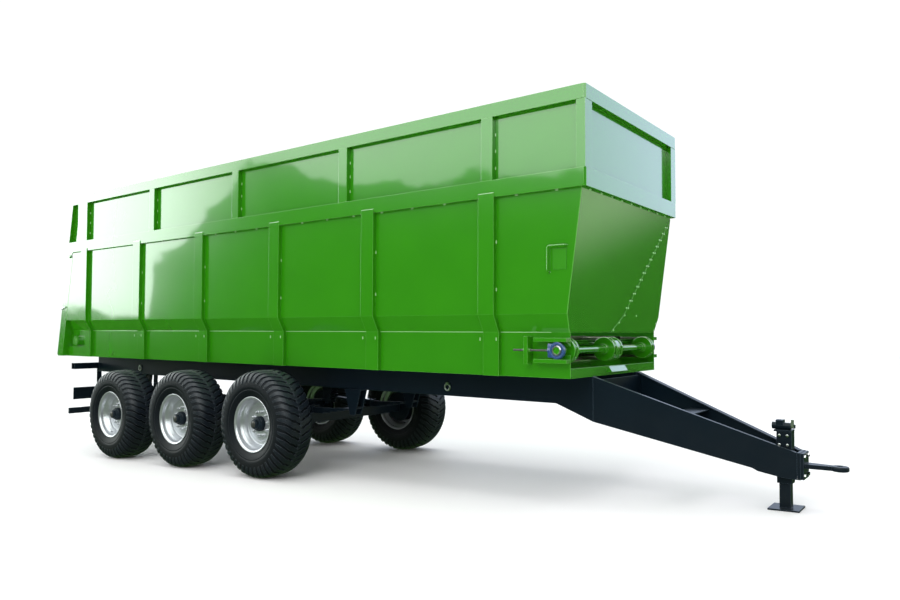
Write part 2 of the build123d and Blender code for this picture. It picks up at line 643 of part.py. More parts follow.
GUIDE_HEIGHT = 34.0
GUIDE_LENGTH = 330.0
with BuildPart() as take_up_guides:
    for side in SIDES.values():
        low, high = sorted((side * SKIRT_Y, side * (BEARING_Y + 34)))
        for up in (-1, 1):
            z_near = SHAFT_Z + up * (BEARING_RADIUS + 3)
            z_low, z_high = sorted((z_near, z_near + up * GUIDE_HEIGHT))
            block((FRONT_PLATE_X - GUIDE_LENGTH, low, z_low), (FRONT_PLATE_X, high, z_high))
keep("take_up_guides", take_up_guides, tension_brackets, tension_nuts)

with BuildPart() as rear_bearings:
    for side in SIDES.values():
        low, high = sorted((side * SKIRT_Y, side * (BEARING_Y + BEARING_WIDTH - 10)))
        bar_y((REAR_SHAFT_X, (low + high) / 2, SHAFT_Z), BEARING_RADIUS, high - low)
        bar_y((REAR_SHAFT_X, (low + high) / 2, SHAFT_Z), SHAFT_RADIUS + RUNNING_FIT, 120, mode=Mode.SUBTRACT)
keep("rear_bearings", rear_bearings)

GEARBOX_LOW_Y = BEARING_Y + BEARING_WIDTH - 10
with BuildPart() as drive_gearbox:
    block(
        (REAR_SHAFT_X - 100, GEARBOX_LOW_Y, SHAFT_Z - 110),
        (REAR_SHAFT_X + 260, GEARBOX_LOW_Y + 120, SHAFT_Z + 110),
    )
    fillet(drive_gearbox.edges().filter_by(Axis.Y), 40)
    bar_y((REAR_SHAFT_X, GEARBOX_LOW_Y, SHAFT_Z), SHAFT_RADIUS + RUNNING_FIT, 30, mode=Mode.SUBTRACT)
    bar_y((REAR_SHAFT_X, GEARBOX_LOW_Y + 126, SHAFT_Z), 60, 12)
keep("drive_gearbox", drive_gearbox)

with BuildPart() as hydraulic_motor:
    bar_x((REAR_SHAFT_X + 260 + 90, GEARBOX_LOW_Y + 60, SHAFT_Z), 52, 180)
    bar_x((REAR_SHAFT_X + 260 + 190, GEARBOX_LOW_Y + 60, SHAFT_Z), 44, 60)
    block(
        (REAR_SHAFT_X + 330, GEARBOX_LOW_Y + 30, SHAFT_Z + 30),
        (REAR_SHAFT_X + 400, GEARBOX_LOW_Y + 90, SHAFT_Z + 78),
    )
keep("hydraulic_motor", hydraulic_motor)


def chain_turn(x, direction):
    """Half ring of chain round one shaft; direction is +1 at the front and -1 at the rear."""
    for y in CHAIN_LINES:
        bar_y((x, y, SHAFT_Z), CHAIN_RADIUS, CHAIN_WIDTH)
    for y in CHAIN_LINES:
        bar_y((x, y, SHAFT_Z), CHAIN_GROOVE_RADIUS, CHAIN_WIDTH + 2, mode=Mode.SUBTRACT)
    reach = 2 * CHAIN_RADIUS
    x_low, x_high = sorted((x, x - direction * reach))
    wide = RAIL_WIDTH
    block((x_low, -wide, SHAFT_Z - reach), (x_high, wide, SHAFT_Z + reach), mode=Mode.SUBTRACT)


with BuildPart() as chain_front_turns:
    chain_turn(SHAFT_X, 1)
keep("chain_front_turns", chain_front_turns)

with BuildPart() as floor_chains:
    for y in CHAIN_LINES:
        half = CHAIN_WIDTH / 2
        front_end = (SHAFT_X - BODY_GAP, y + half, FLOOR_TOP + CHAIN_THICKNESS)
        block((REAR_SHAFT_X, y - half, FLOOR_TOP), front_end)
        block((REAR_SHAFT_X, y - half, RETURN_Z), (SHAFT_X - BODY_GAP, y + half, RETURN_Z + CHAIN_THICKNESS))
    chain_turn(REAR_SHAFT_X, -1)
keep("floor_chains", floor_chains)

with BuildPart() as floor_slats:
    for number in range(SLAT_COUNT):
        x = SHAFT_X - 200 + (number + 0.2) * (SLAT_RUN + 320) / SLAT_COUNT
        for side in SIDES.values():
            inner_end = INNER_CHAIN_Y + CHAIN_WIDTH / 2
            outer_end = OUTER_CHAIN_Y - CHAIN_WIDTH / 2
            y_low, y_high = sorted((side * inner_end, side * outer_end))
            half = SLAT_WIDTH / 2
            block((x - half, y_low, FLOOR_TOP), (x + half, y_high, FLOOR_TOP + SLAT_HEIGHT))
            lower_z = RETURN_Z + CHAIN_THICKNESS
            block((x - half, y_low, lower_z - SLAT_HEIGHT), (x + half, y_high, lower_z))
keep("floor_slats", floor_slats)

# ---------------------------------------------------------------- chassis and drawbar
BEAM_SIDE = [
    (BEAM_REAR_X, BEAM_BOTTOM),
    (KNEE_X, BEAM_BOTTOM),
    (BEND_X, BEND_BOTTOM),
    (BEND_X, SKIRT_BOTTOM),
    (BEAM_REAR_X, SKIRT_BOTTOM),
]
RUN_X = TIP_X - BEND_X
RUN_Y = BEAM_OUTER_Y - TIP_OUTER_Y
RUN = math.hypot(RUN_X, RUN_Y)
ALONG = RUN / RUN_X              # length along the drawbar per unit of x
DRAWBAR_SIDE = [
    (0, BEND_BOTTOM),
    ((1108 - BEND_X) * ALONG, 537),
    ((1150 - BEND_X) * ALONG, 513),
    ((1311 - BEND_X) * ALONG, 476),
    (RUN, TIP_BOTTOM),
    (RUN, TIP_TOP),
    (0, SKIRT_BOTTOM),
]
chassis_beam_sides = []
drawbar_beam_sides = []
for side in SIDES.values():
    y_low, y_high = sorted((side * (BEAM_OUTER_Y - BEAM_WIDTH), side * BEAM_OUTER_Y))
    with BuildPart() as chassis_beam:
        plate_xz(BEAM_SIDE, y_low, y_high)
        ridge = chassis_beam.edges().filter_by(Axis.X)
        fillet(ridge, 8)
    chassis_beam_sides.append(chassis_beam)

    direction = (RUN_X / RUN, -side * RUN_Y / RUN, 0)
    start = (BEND_X, side * BEAM_OUTER_Y, 0)
    face_plane = Plane(start, x_dir=direction, z_dir=(direction[1], -direction[0], 0))
    inward = DRAWBAR_WALL if side < 0 else -DRAWBAR_WALL
    with BuildPart() as drawbar_beam:
        with BuildSketch(face_plane):
            with BuildLine():
                Polyline(*DRAWBAR_SIDE, close=True)
            make_face()
        extrude(amount=-inward)
        top_strip = [
            (0, SKIRT_BOTTOM - FLANGE_THICKNESS),
            (0, SKIRT_BOTTOM),
            (RUN, TIP_TOP),
            (RUN, TIP_TOP - FLANGE_THICKNESS),
        ]
        with BuildSketch(face_plane.offset(-inward)):
            with BuildLine():
                Polyline(*top_strip, close=True)
            make_face()
        extrude(amount=-math.copysign(FLANGE_LIP, inward))
        block((BEND_X - 200, -RAIL_WIDTH, 0), (BEND_X, RAIL_WIDTH, TOP_Z), mode=Mode.SUBTRACT)
        block((TIP_X, -RAIL_WIDTH, 0), (TIP_X + 200, RAIL_WIDTH, TOP_Z), mode=Mode.SUBTRACT)
    drawbar_beam_sides.append(drawbar_beam)
keep("chassis_beams", *chassis_beam_sides)
keep("drawbar_beams", *drawbar_beam_sides)


def drawbar_inner_y(x):
    """Inner face of the drawbar beams at x, measured square to the centre line."""
    return BEAM_OUTER_Y - (x - BEND_X) * RUN_Y / RUN_X - DRAWBAR_WALL * ALONG


def drawbar_top(x):
    """Top edge of the drawbar beams at x."""
    return SKIRT_BOTTOM + (TIP_TOP - SKIRT_BOTTOM) * (x - BEND_X) / RUN_X


def taper_plate(x_rear, x_front, z_low, z_high):
    """Plate that fills the space between the drawbar beams."""
    with BuildSketch(Plane.XY.offset(z_low)) as taper:
        with BuildLine():
            Polyline(
                (x_rear, -drawbar_inner_y(x_rear)),
                (x_front, -drawbar_inner_y(x_front)),
                (x_front, drawbar_inner_y(x_front)),
                (x_rear, drawbar_inner_y(x_rear)),
                close=True,
            )
        make_face()
    extrude(taper.sketch, amount=z_high - z_low)


CROSS_PLATE_X = 430.0
CROSS_MEMBER_XS = [-1500.0, -2700.0, -3300.0]
CROSS_MEMBER_XS += [x - AXLE_PITCH / 2 for x in AXLES]
CROSS_MEMBER_XS.append(REAR_SHAFT_X + 80)
with BuildPart() as drawbar_cross_plates:
    z = drawbar_top(CROSS_PLATE_X + 170) - 30
    taper_plate(CROSS_PLATE_X - 20, CROSS_PLATE_X + 170, z - 12, z)
    taper_plate(CROSS_PLATE_X - 20, CROSS_PLATE_X - 8, z - 190, z - 12)
    taper_plate(BEND_X + 10, BEND_X + 24, BEND_BOTTOM + 40, SKIRT_BOTTOM - 32)

with BuildPart() as chassis_cross_members:
    inner = BEAM_OUTER_Y - BEAM_WIDTH
    for x in CROSS_MEMBER_XS:
        block((x - 45, -inner, BEAM_BOTTOM + 40), (x + 45, inner, SKIRT_BOTTOM - 40))
        hollow_low = (x - 39, -inner - 1, BEAM_BOTTOM + 46)
        hollow_high = (x + 39, inner + 1, SKIRT_BOTTOM - 46)
        block(hollow_low, hollow_high, mode=Mode.SUBTRACT)
keep("cross_members", chassis_cross_members, drawbar_cross_plates)

PLATE_FRONT = TIP_X + 2 * COUPLING_PLATE
PLATE_MID_Z = (TIP_BOTTOM + TIP_TOP) / 2
BOLT_RADIUS = 10.0
HEAD_REAR_X = 1130.0
HEAD_TOP = 660.0
with BuildPart() as drawbar_head:
    taper_plate(HEAD_REAR_X, TIP_X, HEAD_TOP - 14, HEAD_TOP)
    taper_plate(HEAD_REAR_X + 60, TIP_X, TIP_BOTTOM + 30, TIP_BOTTOM + 44)
    taper_plate(HEAD_REAR_X + 60, HEAD_REAR_X + 74, TIP_BOTTOM + 44, HEAD_TOP - 14)
    block((TIP_X, -TIP_OUTER_Y + 2, TIP_BOTTOM), (TIP_X + COUPLING_PLATE, TIP_OUTER_Y - 2, TIP_TOP))
    half = JACK_TUBE / 2
    block((JACK_X - half, -half, 0), (JACK_X + half, half, TOP_Z), mode=Mode.SUBTRACT)
    for y in (-1, 1):
        for z in (-1, 1):
            middle = TIP_X + COUPLING_PLATE / 2
            spot = (middle, y * COUPLING_BOLT_PITCH / 2, PLATE_MID_Z + z * COUPLING_BOLT_PITCH / 2)
            bar_x(spot, BOLT_RADIUS, COUPLING_PLATE, mode=Mode.SUBTRACT)
keep("drawbar_head", drawbar_head)

with BuildPart() as tow_eye:
    with BuildSketch(Plane.XY.offset(EYE_Z - EYE_THICKNESS / 2)):
        with Locations((EYE_X, 0)):
            Circle(EYE_OUTER_RADIUS)
    extrude(amount=EYE_THICKNESS)
    fillet(tow_eye.edges().filter_by(GeomType.CIRCLE), 14)
    with BuildSketch(Plane.XY.offset(EYE_Z - 18)):
        with BuildLine():
            Polyline(
                (EYE_X - 40, -38),
                (PLATE_FRONT - 4, -62),
                (PLATE_FRONT - 4, 62),
                (EYE_X - 40, 38),
                close=True,
            )
        make_face()
    extrude(amount=36)
    plate_low = (TIP_X + COUPLING_PLATE, -TIP_OUTER_Y + 4, TIP_BOTTOM + 4)
    block(plate_low, (PLATE_FRONT, TIP_OUTER_Y - 4, TIP_TOP - 4))
    with Locations((EYE_X, 0, EYE_Z)):
        Cylinder(EYE_HOLE_RADIUS, 100, mode=Mode.SUBTRACT)
    for y in (-1, 1):
        for z in (-1, 1):
            spot = (PLATE_FRONT, y * COUPLING_BOLT_PITCH / 2, PLATE_MID_Z + z * COUPLING_BOLT_PITCH / 2)
            bar_x(spot, BOLT_RADIUS + 0.5, 2 * COUPLING_PLATE, mode=Mode.SUBTRACT)
keep("tow_eye", tow_eye)

with BuildPart() as coupling_bolts:
    for y in (-1, 1):
        for z in (-1, 1):
            place = (y * COUPLING_BOLT_PITCH / 2, PLATE_MID_Z + z * COUPLING_BOLT_PITCH / 2)
            with BuildSketch(Plane.YZ.offset(PLATE_FRONT)):
                with Locations(place):
                    RegularPolygon(1.5 * BOLT_RADIUS, 6, major_radius=False)
            extrude(amount=1.3 * BOLT_RADIUS)
            bar_x((TIP_X + COUPLING_PLATE, place[0], place[1]), BOLT_RADIUS, 2 * COUPLING_PLATE)
keep("coupling_bolts", coupling_bolts)

# ---------------------------------------------------------------- parking jack
with BuildPart() as jack_tube:
    half = JACK_TUBE / 2
    bore = JACK_LEG / 2 + BODY_GAP
    block((JACK_X - half, -half, JACK_TUBE_BOTTOM), (JACK_X + half, half, JACK_TUBE_TOP))
    block((JACK_X - bore, -bore, 0), (JACK_X + bore, bore, JACK_TUBE_TOP - 8), mode=Mode.SUBTRACT)
    block((JACK_X - half - 20, -half - 10, JACK_TUBE_TOP), (JACK_X + half, half + 10, JACK_TUBE_TOP + 14))

FOOT_BOTTOM = ground_z(JACK_X)
with BuildPart() as jack_leg:
    half = JACK_LEG / 2
    block((JACK_X - half, -half, FOOT_BOTTOM + 8), (JACK_X + half, half, JACK_TUBE_TOP - 370))
    foot_tilt = Location((JACK_X, 0, FOOT_BOTTOM), (0, -PARKING_PITCH, 0))
    with Locations(foot_tilt * Location((0, 0, JACK_FOOT_THICKNESS / 2))):
        Box(JACK_FOOT, JACK_FOOT, JACK_FOOT_THICKNESS)
keep("jack_leg", jack_leg)

LEVER_X = JACK_X + 62
LEVER_Z = JACK_TUBE_TOP + 44
LEVER_PIN_RADIUS = 9.0
with BuildPart() as jack_head:
    bar_x((JACK_X - 30, 0, JACK_TUBE_TOP + 14 + 30), 30, 150)
    block((JACK_X - 70, -40, JACK_TUBE_TOP + 50), (JACK_X - 10, 40, JACK_TUBE_TOP + 96))
    block((JACK_X + 40, -20, LEVER_Z - 16), (LEVER_X + 16, 20, LEVER_Z + 16))
    bar_y((LEVER_X, 0, LEVER_Z), LEVER_PIN_RADIUS + RUNNING_FIT, 60, mode=Mode.SUBTRACT)
keep("jack_tube", jack_tube, jack_head)

with BuildPart() as jack_lever:
    bar_y((LEVER_X, 0, LEVER_Z), LEVER_PIN_RADIUS, 60)
    block((LEVER_X - 12, -30, LEVER_Z - 9), (LEVER_X + 12, -22, LEVER_Z + 60))
keep("jack_lever", jack_lever)


# ---------------------------------------------------------------- axles and suspension
def axle_plane(x):
    """Horizontal plane through an axle's centre line."""
    return Plane((x, 0, wheel_centre_z(x)))


BEAM_END = WHEEL_Y - 200
SPINDLE_END = WHEEL_Y + 160
SPRING_Y = BEAM_OUTER_Y - BEAM_WIDTH / 2
SPRING_HALF = 700.0
EYE_DROP = 780.0 - TYRE_RADIUS   # spring ends above the axle centre
LEAF = 14.0
LEAF_COUNT = 5
axle_set = []
for x in AXLES:
    z = wheel_centre_z(x)
    half = AXLE_BEAM / 2
    with BuildPart() as axle:
        block((x - half, -BEAM_END, z - half), (x + half, BEAM_END, z + half))
        bar_y((x, 0, z), SPINDLE_RADIUS, 2 * SPINDLE_END)
    axle_set.append(axle)
keep("axles", *axle_set)

with BuildPart() as leaf_springs:
    for x in AXLES:
        seat = wheel_centre_z(x) + AXLE_BEAM / 2
        tip = wheel_centre_z(x) + EYE_DROP
        for side in SIDES.values():
            y_low, y_high = side * SPRING_Y - 40, side * SPRING_Y + 40
            for number in range(LEAF_COUNT):
                reach = SPRING_HALF * (1 - 0.17 * number)
                rise = (tip - seat - LEAF * LEAF_COUNT) * (reach / SPRING_HALF) ** 2
                base = seat + LEAF * (LEAF_COUNT - 1 - number)
                with BuildSketch(Plane.XZ.offset(-y_high)):
                    with BuildLine():
                        ThreePointArc((x - reach, base + rise), (x, base), (x + reach, base + rise))
                        Line((x + reach, base + rise), (x + reach, base + rise + LEAF))
                        top_front = (x + reach, base + rise + LEAF)
                        ThreePointArc(top_front, (x, base + LEAF), (x - reach, base + rise + LEAF))
                        Line((x - reach, base + rise + LEAF), (x - reach, base + rise))
                    make_face()
                extrude(amount=y_high - y_low)
            clamp_z = seat + LEAF * LEAF_COUNT
            block((x - 60, y_low - 6, clamp_z), (x + 60, y_high + 6, clamp_z + 16))
keep("leaf_springs", leaf_springs)


def spring_end_z(x):
    """Top of a spring's ends for an axle at x."""
    return wheel_centre_z(x) + EYE_DROP


def nearest_axle(x):
    """Place of the axle closest to x."""
    return min(AXLES, key=lambda axle_x: abs(axle_x - x))


HANGER_HALF_Y = 58.0
ROCKER_RISE = 28.0               # rocker pin above the spring ends
with BuildPart() as spring_hangers:
    spots = [AXLES[0] + SPRING_HALF + 40]
    spots += [(a + b) / 2 for a, b in zip(AXLES, AXLES[1:])]
    spots += [AXLES[-1] - SPRING_HALF - 40]
    for x in spots:
        low = spring_end_z(nearest_axle(x)) - 75
        if x in spots[1:-1]:
            low = spring_end_z(x) - 75
        for side in SIDES.values():
            centre = side * SPRING_Y
            outline = [
                (x - 130, BEAM_BOTTOM),
                (x + 130, BEAM_BOTTOM),
                (x + 60, low + 60),
                (x + 40, low),
                (x - 40, low),
                (x - 60, low + 60),
            ]
            for wall in (-1, 1):
                y_a = centre + wall * HANGER_HALF_Y
                y_b = centre + wall * (HANGER_HALF_Y - 12)
                plate_xz(outline, min(y_a, y_b), max(y_a, y_b))
            y_low, y_high = centre - HANGER_HALF_Y, centre + HANGER_HALF_Y
            block((x - 130, y_low, BEAM_BOTTOM - 12), (x + 130, y_high, BEAM_BOTTOM))
            if x in spots[1:-1]:
                bar_y((x, centre, low + 75 + ROCKER_RISE), 20, 2 * HANGER_HALF_Y)
            else:
                pad_half = HANGER_HALF_Y - 12
                block((x - 60, centre - pad_half, low + 75), (x + 60, centre + pad_half, low + 95))

with BuildPart() as spring_rockers:
    for x in spots[1:-1]:
        pin_z = spring_end_z(x) + ROCKER_RISE
        front_z = spring_end_z(x + AXLE_PITCH / 2)
        rear_z = spring_end_z(x - AXLE_PITCH / 2)
        for side in SIDES.values():
            centre = side * SPRING_Y
            outline = [
                (x - 130, rear_z),
                (x - 130, rear_z + 26),
                (x, pin_z + 36),
                (x + 130, front_z + 26),
                (x + 130, front_z),
                (x + 75, front_z),
                (x + 30, pin_z - 34),
                (x - 30, pin_z - 34),
                (x - 75, rear_z),
            ]
            plate_xz(outline, centre - 40, centre + 40)
            bar_y((x, centre, pin_z), 20, 120, mode=Mode.SUBTRACT)
keep("spring_hangers", spring_hangers, spring_rockers)

with BuildPart() as brake_chambers:
    for x in AXLES:
        z = wheel_centre_z(x)
        for side in SIDES.values():
            bar_x((x - 210, side * 700, z + 40), 72, 130)
            bar_x((x - 135, side * 700, z + 40), 9, 120)
            block((x - 152, side * 700 - 50, z - 40), (x - 144, side * 700 + 50, z + 100))
            block((x - 150, side * 700 - 20, z - 60), (x - AXLE_BEAM / 2, side * 700 + 20, z - 40))

with BuildPart() as slack_adjusters:
    for x in AXLES:
        z = wheel_centre_z(x)
        for side in SIDES.values():
            bar_y((x - 96, side * 780, z - 20), 30, 40)
            block((x - 110, side * 780 - 12, z - 20), (x - 82, side * 780 + 12, z + 110))
            bar_y((x - 96, side * 850, z - 20), 14, 180)
            block((x - 100, side * 780 - 18, z - 30), (x - AXLE_BEAM / 2, side * 780 + 18, z - 10))
keep("brake_gear", brake_chambers, slack_adjusters)

# ---------------------------------------------------------------- wheels
HUB_RADIUS = 88.0
DISC_THICKNESS = 14.0
DISC_Y = 60.0                    # disc behind the outer rim plane, measured from the wheel's middle
STUD_CIRCLE = 140.0
STUD_COUNT = 10
DRUM_RADIUS = 205.0
RIM_WALL = 9.0
HALF_RIM = 207.0


def wheel_profile(points, side):
    """Revolve (radius, outward offset) points about a wheel's own axis."""
    with BuildLine() as half_section:
        Polyline(*[(radius, side * WHEEL_Y + side * out) for radius, out in points], close=True)
    make_face(half_section.edges())


TYRE_POINTS = [
    (RIM_RADIUS + 4, -188),
    (RIM_FLANGE_RADIUS, -196),
    (RIM_RADIUS + 60, -216),
    (435, -TYRE_WIDTH / 2),
    (510, -TYRE_WIDTH / 2 + 8),
    (574, -208),
    (604, -184),
    (617, -120),
    (TYRE_RADIUS, -40),
    (TYRE_RADIUS, 40),
    (617, 120),
    (604, 184),
    (574, 208),
    (510, TYRE_WIDTH / 2 - 8),
    (435, TYRE_WIDTH / 2),
    (RIM_RADIUS + 60, 216),
    (RIM_FLANGE_RADIUS, 196),
    (RIM_RADIUS + 4, 188),
    (RIM_RADIUS + 4, 160),
    (390, 196),
    (470, 206),
    (545, 180),
    (585, 100),
    (590, 0),
    (585, -100),
    (545, -180),
    (470, -206),
    (390, -196),
    (RIM_RADIUS + 4, -160),
]
RIM_POINTS = [
    (RIM_FLANGE_RADIUS, -HALF_RIM),
    (RIM_FLANGE_RADIUS, -HALF_RIM + RIM_WALL),
    (RIM_RADIUS + 4, -HALF_RIM + 16),
    (RIM_RADIUS + 4, -150),
    (RIM_RADIUS - 34, -120),
    (RIM_RADIUS - 34, 60),
    (RIM_RADIUS - 8, 110),
    (RIM_RADIUS + 4, 150),
    (RIM_RADIUS + 4, HALF_RIM - 16),
    (RIM_FLANGE_RADIUS, HALF_RIM - RIM_WALL),
    (RIM_FLANGE_RADIUS, HALF_RIM),
    (RIM_RADIUS - 10, HALF_RIM),
    (RIM_RADIUS - 10, 150),
    (RIM_RADIUS - 22, 108),
    (RIM_RADIUS - 46, 70),
    (RIM_RADIUS - 46, DISC_Y),
    (205, DISC_Y),
    (190, DISC_Y + 14),
    (HUB_RADIUS + 0.5, DISC_Y + 14),
    (HUB_RADIUS + 0.5, DISC_Y + 14 - DISC_THICKNESS),
    (186, DISC_Y + 14 - DISC_THICKNESS),
    (200, DISC_Y - DISC_THICKNESS),
    (RIM_RADIUS - 46, DISC_Y - DISC_THICKNESS),
    (RIM_RADIUS - 46, -124),
    (RIM_RADIUS - 10, -156),
    (RIM_RADIUS - 10, -HALF_RIM),
]
HUB_POINTS = [
    (SPINDLE_RADIUS + RUNNING_FIT, -150),
    (DRUM_RADIUS, -150),
    (DRUM_RADIUS, 20),
    (170, DISC_Y),
    (HUB_RADIUS, DISC_Y),
    (HUB_RADIUS, DISC_Y + 60),
    (76, DISC_Y + 76),
    (60, DISC_Y + 80),
    (56, DISC_Y + 118),
    (0, DISC_Y + 122),
    (0, 160 + 1),
    (SPINDLE_RADIUS + RUNNING_FIT, 160 + 1),
]
for name, x in zip(AXLE_NAMES, AXLES):
    for side_name, side in SIDES.items():
        spin_axis = Axis((x, 0, wheel_centre_z(x)), (0, 1, 0))
        with BuildPart() as tyre:
            with BuildSketch(axle_plane(x)):
                wheel_profile(TYRE_POINTS, side)
            revolve(axis=spin_axis)
        keep(f"tyre_{name}_{side_name}", tyre)

        with BuildPart() as rim:
            with BuildSketch(axle_plane(x)):
                wheel_profile(RIM_POINTS, side)
            revolve(axis=spin_axis)

        with BuildPart() as hub:
            with BuildSketch(axle_plane(x)):
                wheel_profile(HUB_POINTS, side)
            revolve(axis=spin_axis)
            for number in range(STUD_COUNT):
                turn = math.radians(360 * number / STUD_COUNT)
                stud_x = x + STUD_CIRCLE * math.cos(turn)
                stud_z = wheel_centre_z(x) + STUD_CIRCLE * math.sin(turn)
                stud_y = side * (WHEEL_Y + DISC_Y + 14)
                bar_y((stud_x, stud_y + side * 10, stud_z), 14, 20)
        keep(f"rim_{name}_{side_name}", rim, hub)

# ---------------------------------------------------------------- rear carriers
CARRIER_X = BEAM_REAR_X - 30
with BuildPart() as rear_cross_tube:
    block((CARRIER_X - 100, -950, BEAM_BOTTOM + 48), (CARRIER_X, 950, BEAM_BOTTOM + 148))
    hollow_high = (CARRIER_X - 6, 951, BEAM_BOTTOM + 142)
    block((CARRIER_X - 94, -951, BEAM_BOTTOM + 54), hollow_high, mode=Mode.SUBTRACT)
    for side in SIDES.values():
        y_low, y_high = sorted((side * (BEAM_OUTER_Y - 60), side * (BEAM_OUTER_Y - 46)))
        block((CARRIER_X, y_low, BEAM_BOTTOM + 60), (BEAM_REAR_X, y_high, BEAM_BOTTOM + 136))
keep("rear_cross_tube", rear_cross_tube)

UNDERRUN_TOP = 425.0
with BuildPart() as underrun_bar:
    block((CARRIER_X - 70, -1000, UNDERRUN_TOP - 96), (CARRIER_X - 30, 1000, UNDERRUN_TOP))
    for side in SIDES.values():
        y_low, y_high = sorted((side * 480, side * 560))
        block((CARRIER_X - 30, y_low, UNDERRUN_TOP - 96), (CARRIER_X - 22, y_high, BEAM_BOTTOM + 48))
        block((CARRIER_X - 30, y_low, BEAM_BOTTOM + 40), (CARRIER_X - 10, y_high, BEAM_BOTTOM + 48))
keep("underrun_bar", underrun_bar)

with BuildPart() as lamp_carrier:
    block((CARRIER_X - 22, -950, 560), (CARRIER_X - 16, -480, 760))
    block((CARRIER_X - 22, 480, 560), (CARRIER_X - 16, 950, 760))
    for side in SIDES.values():
        y_low, y_high = sorted((side * 480, side * 950))
        block((CARRIER_X - 16, y_low, 750), (CARRIER_X + 30, y_high, 760))
        bar_x((CARRIER_X - 40, side * 840, 660), 48, 36)
        bar_x((CARRIER_X - 40, side * 700, 660), 48, 36)
keep("lamp_carrier", lamp_carrier)

with BuildPart() as lashing_rings:
    for x in (-1900.0, -8009.0):
        for side in SIDES.values():
            y = side * (BEAM_OUTER_Y + 9)
            with Locations(Location((x, y, 1105), (90, 0, 0))):
                Torus(34, 9)
            low, high = sorted((side * BEAM_OUTER_Y, side * (BEAM_OUTER_Y + 22)))
            block((x - 16, low, 1128), (x + 16, high, 1156))
keep("lashing_rings", lashing_rings)

# ---------------------------------------------------------------- parked layout
stance = Location((0, 0, 0), (0, PARKING_PITCH, 0))
under_axle = Location((-AXLE_FRONT_X, 0, 0))
parked = {label: part.moved(stance * under_axle) for label, part in pieces.items()}
boxes = [part.bounding_box() for part in parked.values()]
middle_x = (min(b.min.X for b in boxes) + max(b.max.X for b in boxes)) / 2
base_z = min(b.min.Z for b in boxes)
print("origin", round(middle_x, 3), round(base_z, 3))
for label, part in parked.items():
    placed = part.moved(Location((-middle_x, 0, -base_z)))
    placed.label = label
    export_step(placed, f"parts/{label}.step")
print(len(parked), "pieces")
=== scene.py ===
"""Studio scene of a three-axle grain cart: finishes, fitted details, soft light and camera.

Lengths are metres. New pieces are laid out in the cart's own level frame, with x = 0 at the front face of
the upper box and z = 0 at the ground under the front axle, and then turned into the parked stance.
"""

import json
import logging
import math
from dataclasses import dataclass, field
from enum import Enum

import bpy
import numpy as np
from mathutils import Matrix, Vector


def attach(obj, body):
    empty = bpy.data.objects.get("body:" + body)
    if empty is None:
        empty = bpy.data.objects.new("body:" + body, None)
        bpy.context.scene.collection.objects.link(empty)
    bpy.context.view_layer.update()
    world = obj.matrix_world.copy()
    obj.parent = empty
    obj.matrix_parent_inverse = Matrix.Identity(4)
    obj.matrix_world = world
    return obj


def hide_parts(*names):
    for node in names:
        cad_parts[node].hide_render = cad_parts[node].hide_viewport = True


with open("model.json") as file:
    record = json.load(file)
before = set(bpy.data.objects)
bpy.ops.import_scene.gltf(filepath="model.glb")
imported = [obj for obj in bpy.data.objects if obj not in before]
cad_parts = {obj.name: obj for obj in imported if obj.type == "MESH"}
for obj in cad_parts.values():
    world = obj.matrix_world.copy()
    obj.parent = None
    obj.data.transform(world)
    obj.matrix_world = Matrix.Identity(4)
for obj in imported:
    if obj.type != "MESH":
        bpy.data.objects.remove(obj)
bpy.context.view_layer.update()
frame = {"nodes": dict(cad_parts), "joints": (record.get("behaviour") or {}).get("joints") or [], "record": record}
LOG = logging.getLogger("grain_cart")
Point = tuple[float, float, float]
Profile = list[tuple[float, float]]


class Slot(Enum):
    """Material slots of the record."""

    GREEN = "body_green"
    DARK = "chassis_dark"
    BLUE = "bearing_blue"
    ZINC = "zinc_steel"
    CHAIN = "chain_steel"
    PANE = "window_pane"
    MOTOR = "motor_black"
    RIM = "rim_silver"
    TYRE = "tyre_rubber"


